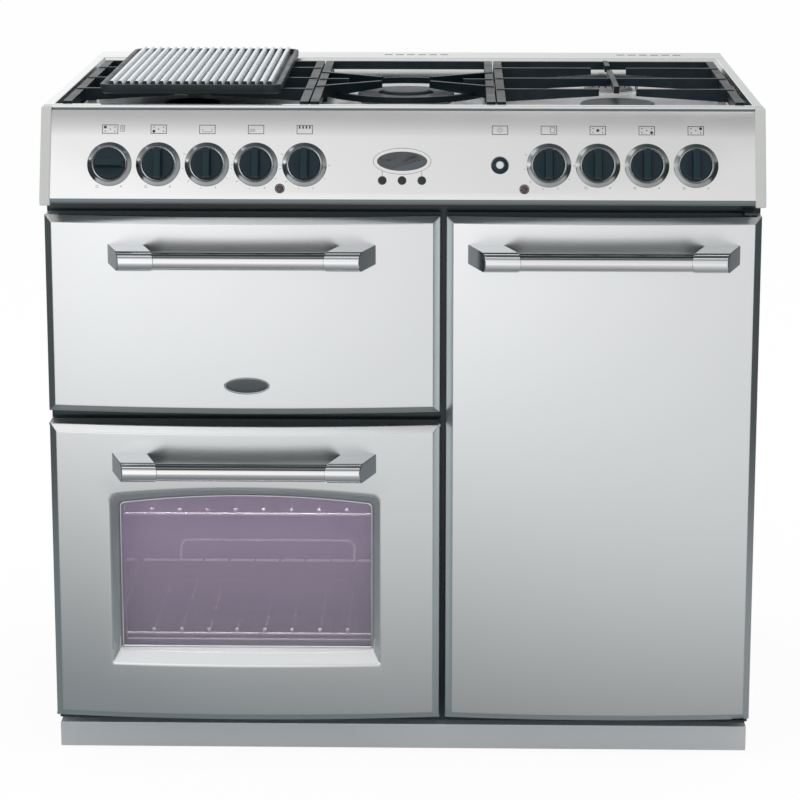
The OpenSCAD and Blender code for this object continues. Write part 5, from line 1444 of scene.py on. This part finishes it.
# %% Heating elements
TUBE_R, TERMINAL_R, LEG_COUNT, GRILL_Y, HANGS, SIDE_GAP = 3.4, 2.8, 7, (-176.75, 113.25), 22.0, 47.0
RING_GAP, RING_AHEAD, TERMINAL_OUT, BAR_OUT = 18.0, 20.0, 12.0, 6.0


def add_bend(bm, centre, start, axis, angle, steps):
    """A tube bent round centre: its section stands at start, and turns about axis."""
    centre, start, axis = Vector(centre) * MM, Vector(start) * MM, Vector(axis)
    part = bmesh.new()
    along = axis.cross(start - centre).normalized()
    turn = along.to_track_quat("Z", "Y").to_matrix().to_4x4()
    bmesh.ops.create_circle(part, segments=12, radius=TUBE_R * MM, matrix=Matrix.Translation(start) @ turn)
    bmesh.ops.spin(part, geom=part.edges[:], cent=centre, axis=axis, dvec=(0, 0, 0), angle=angle, steps=steps,
                   use_merge=angle == math.tau, use_duplicate=False)
    bmesh.ops.remove_doubles(part, verts=part.verts, dist=1e-6)
    bmesh.ops.recalc_face_normals(part, faces=part.faces)
    merge_into(bm, part)


bm = bmesh.new()
cavity_low, cavity_high = box_mm("grill_cavity")
cx, roof = (cavity_low.x + cavity_high.x) / 2, cavity_high.z - 2
z, span = roof - HANGS, cavity_high.x - cavity_low.x - 2 * SIDE_GAP
y0, y1 = GRILL_Y
legs = [cx - span / 2 + i * span / (LEG_COUNT - 1) for i in range(LEG_COUNT)]
bend_r = span / (LEG_COUNT - 1) / 2
for x in legs:
    add_rod(bm, (x, y0 + bend_r, z), (x, y1 - bend_r, z), TUBE_R)
for i, (one, two) in enumerate(zip(legs, legs[1:])):
    y, axis = (y0 + bend_r, (0, 0, 1)) if i % 2 else (y1 - bend_r, (0, 0, -1))
    add_bend(bm, ((one + two) / 2, y, z), (one, y, z), axis, math.pi, 14)
for y in (y0 + 40, y1 - 40):
    add_block(bm, (cx - span / 2 - BAR_OUT, y, z + 3), (cx + span / 2 + BAR_OUT, y + 2, z + 9), 0.3, 1)
    for x in (cx - span / 2 - BAR_OUT, cx + span / 2 + BAR_OUT - 3):
        add_block(bm, (x, y, z + 3), (x + 3, y + 2, roof - 0.1), 0.3, 1)
wall = box_mm("main_oven_cavity")[1].y - 2
for node in ("main_oven_fan", "tall_oven_fan"):
    low, high = box_mm(node)
    x, y, z = (low.x + high.x) / 2, wall - RING_AHEAD, (low.z + high.z) / 2
    ring_r = (high.x - low.x) / 2 + RING_GAP
    add_bend(bm, (x, y, z), (x + ring_r, y, z), (0, 1, 0), math.tau, 72)
    for end in (x - TERMINAL_OUT, x + TERMINAL_OUT):
        add_rod(bm, (end, y, z + ring_r - 0.8), (end, wall, z + ring_r - 0.8), TERMINAL_R)
publish("element_tubes", bm, finish["element_steel"], ["heating_elements"])
print("elements", [round(v, 1) for corner in box_mm("heating_elements") for v in corner])

# %% [markdown]
# The back carries what an installer needs, the gas inlet and the terminal box, and the screws that hold the sheet.
# A screw is a domed head with a dark cross on it: painted shade where its cross recess would be.

# %% Rear fittings
carried("rear_connections", 0.6)
SCREW_R, SCREWS = 4.2, [(x, z) for x in (-440, -220, 0, 220, 440) for z in (46, 807)]
SCREWS += [(x, z) for x in (-440, 440) for z in (300, 555)]
HEAD = [(0, 0), (1, 0), (1, 0.5), (0.86, 1.5), (0.5, 2.1), (0, 2.3)]
back = box_mm("back_panel")[1].y
bm = bmesh.new()
for x, z in SCREWS:
    place = place_at(x, back, z) @ Matrix.Rotation(-math.pi / 2, 4, "X")
    add_spun(bm, [(share * SCREW_R, up) for share, up in HEAD], place, 24)
    # Each arm of the cross is a dark bar: painted shade.
    for turn in (0, math.pi / 2):
        bar = bmesh.new()
        add_block(bar, (-SCREW_R * 0.5, -0.45, 2.0), (SCREW_R * 0.5, 0.45, 2.36), 0.1, 1, 1)
        merge_into(bm, bar, place @ Matrix.Rotation(turn, 4, "Z"))
publish("back_screws", bm, [finish["zinc_steel"], finish["painted_shadow"]], body="root")
print(len(SCREWS), "screws on the back at", round(back, 2))

# %% [markdown]
# Last, the size: the box of what Blender shows is set beside the box that came from the CAD model, because dressing
# a piece mustn't change the object's dimensions.

# %% Size and finish
final_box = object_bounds()
for name, box in (("CAD", cad_box), ("visual", final_box)):
    print(name, [round(v, 4) for corner in box for v in corner])
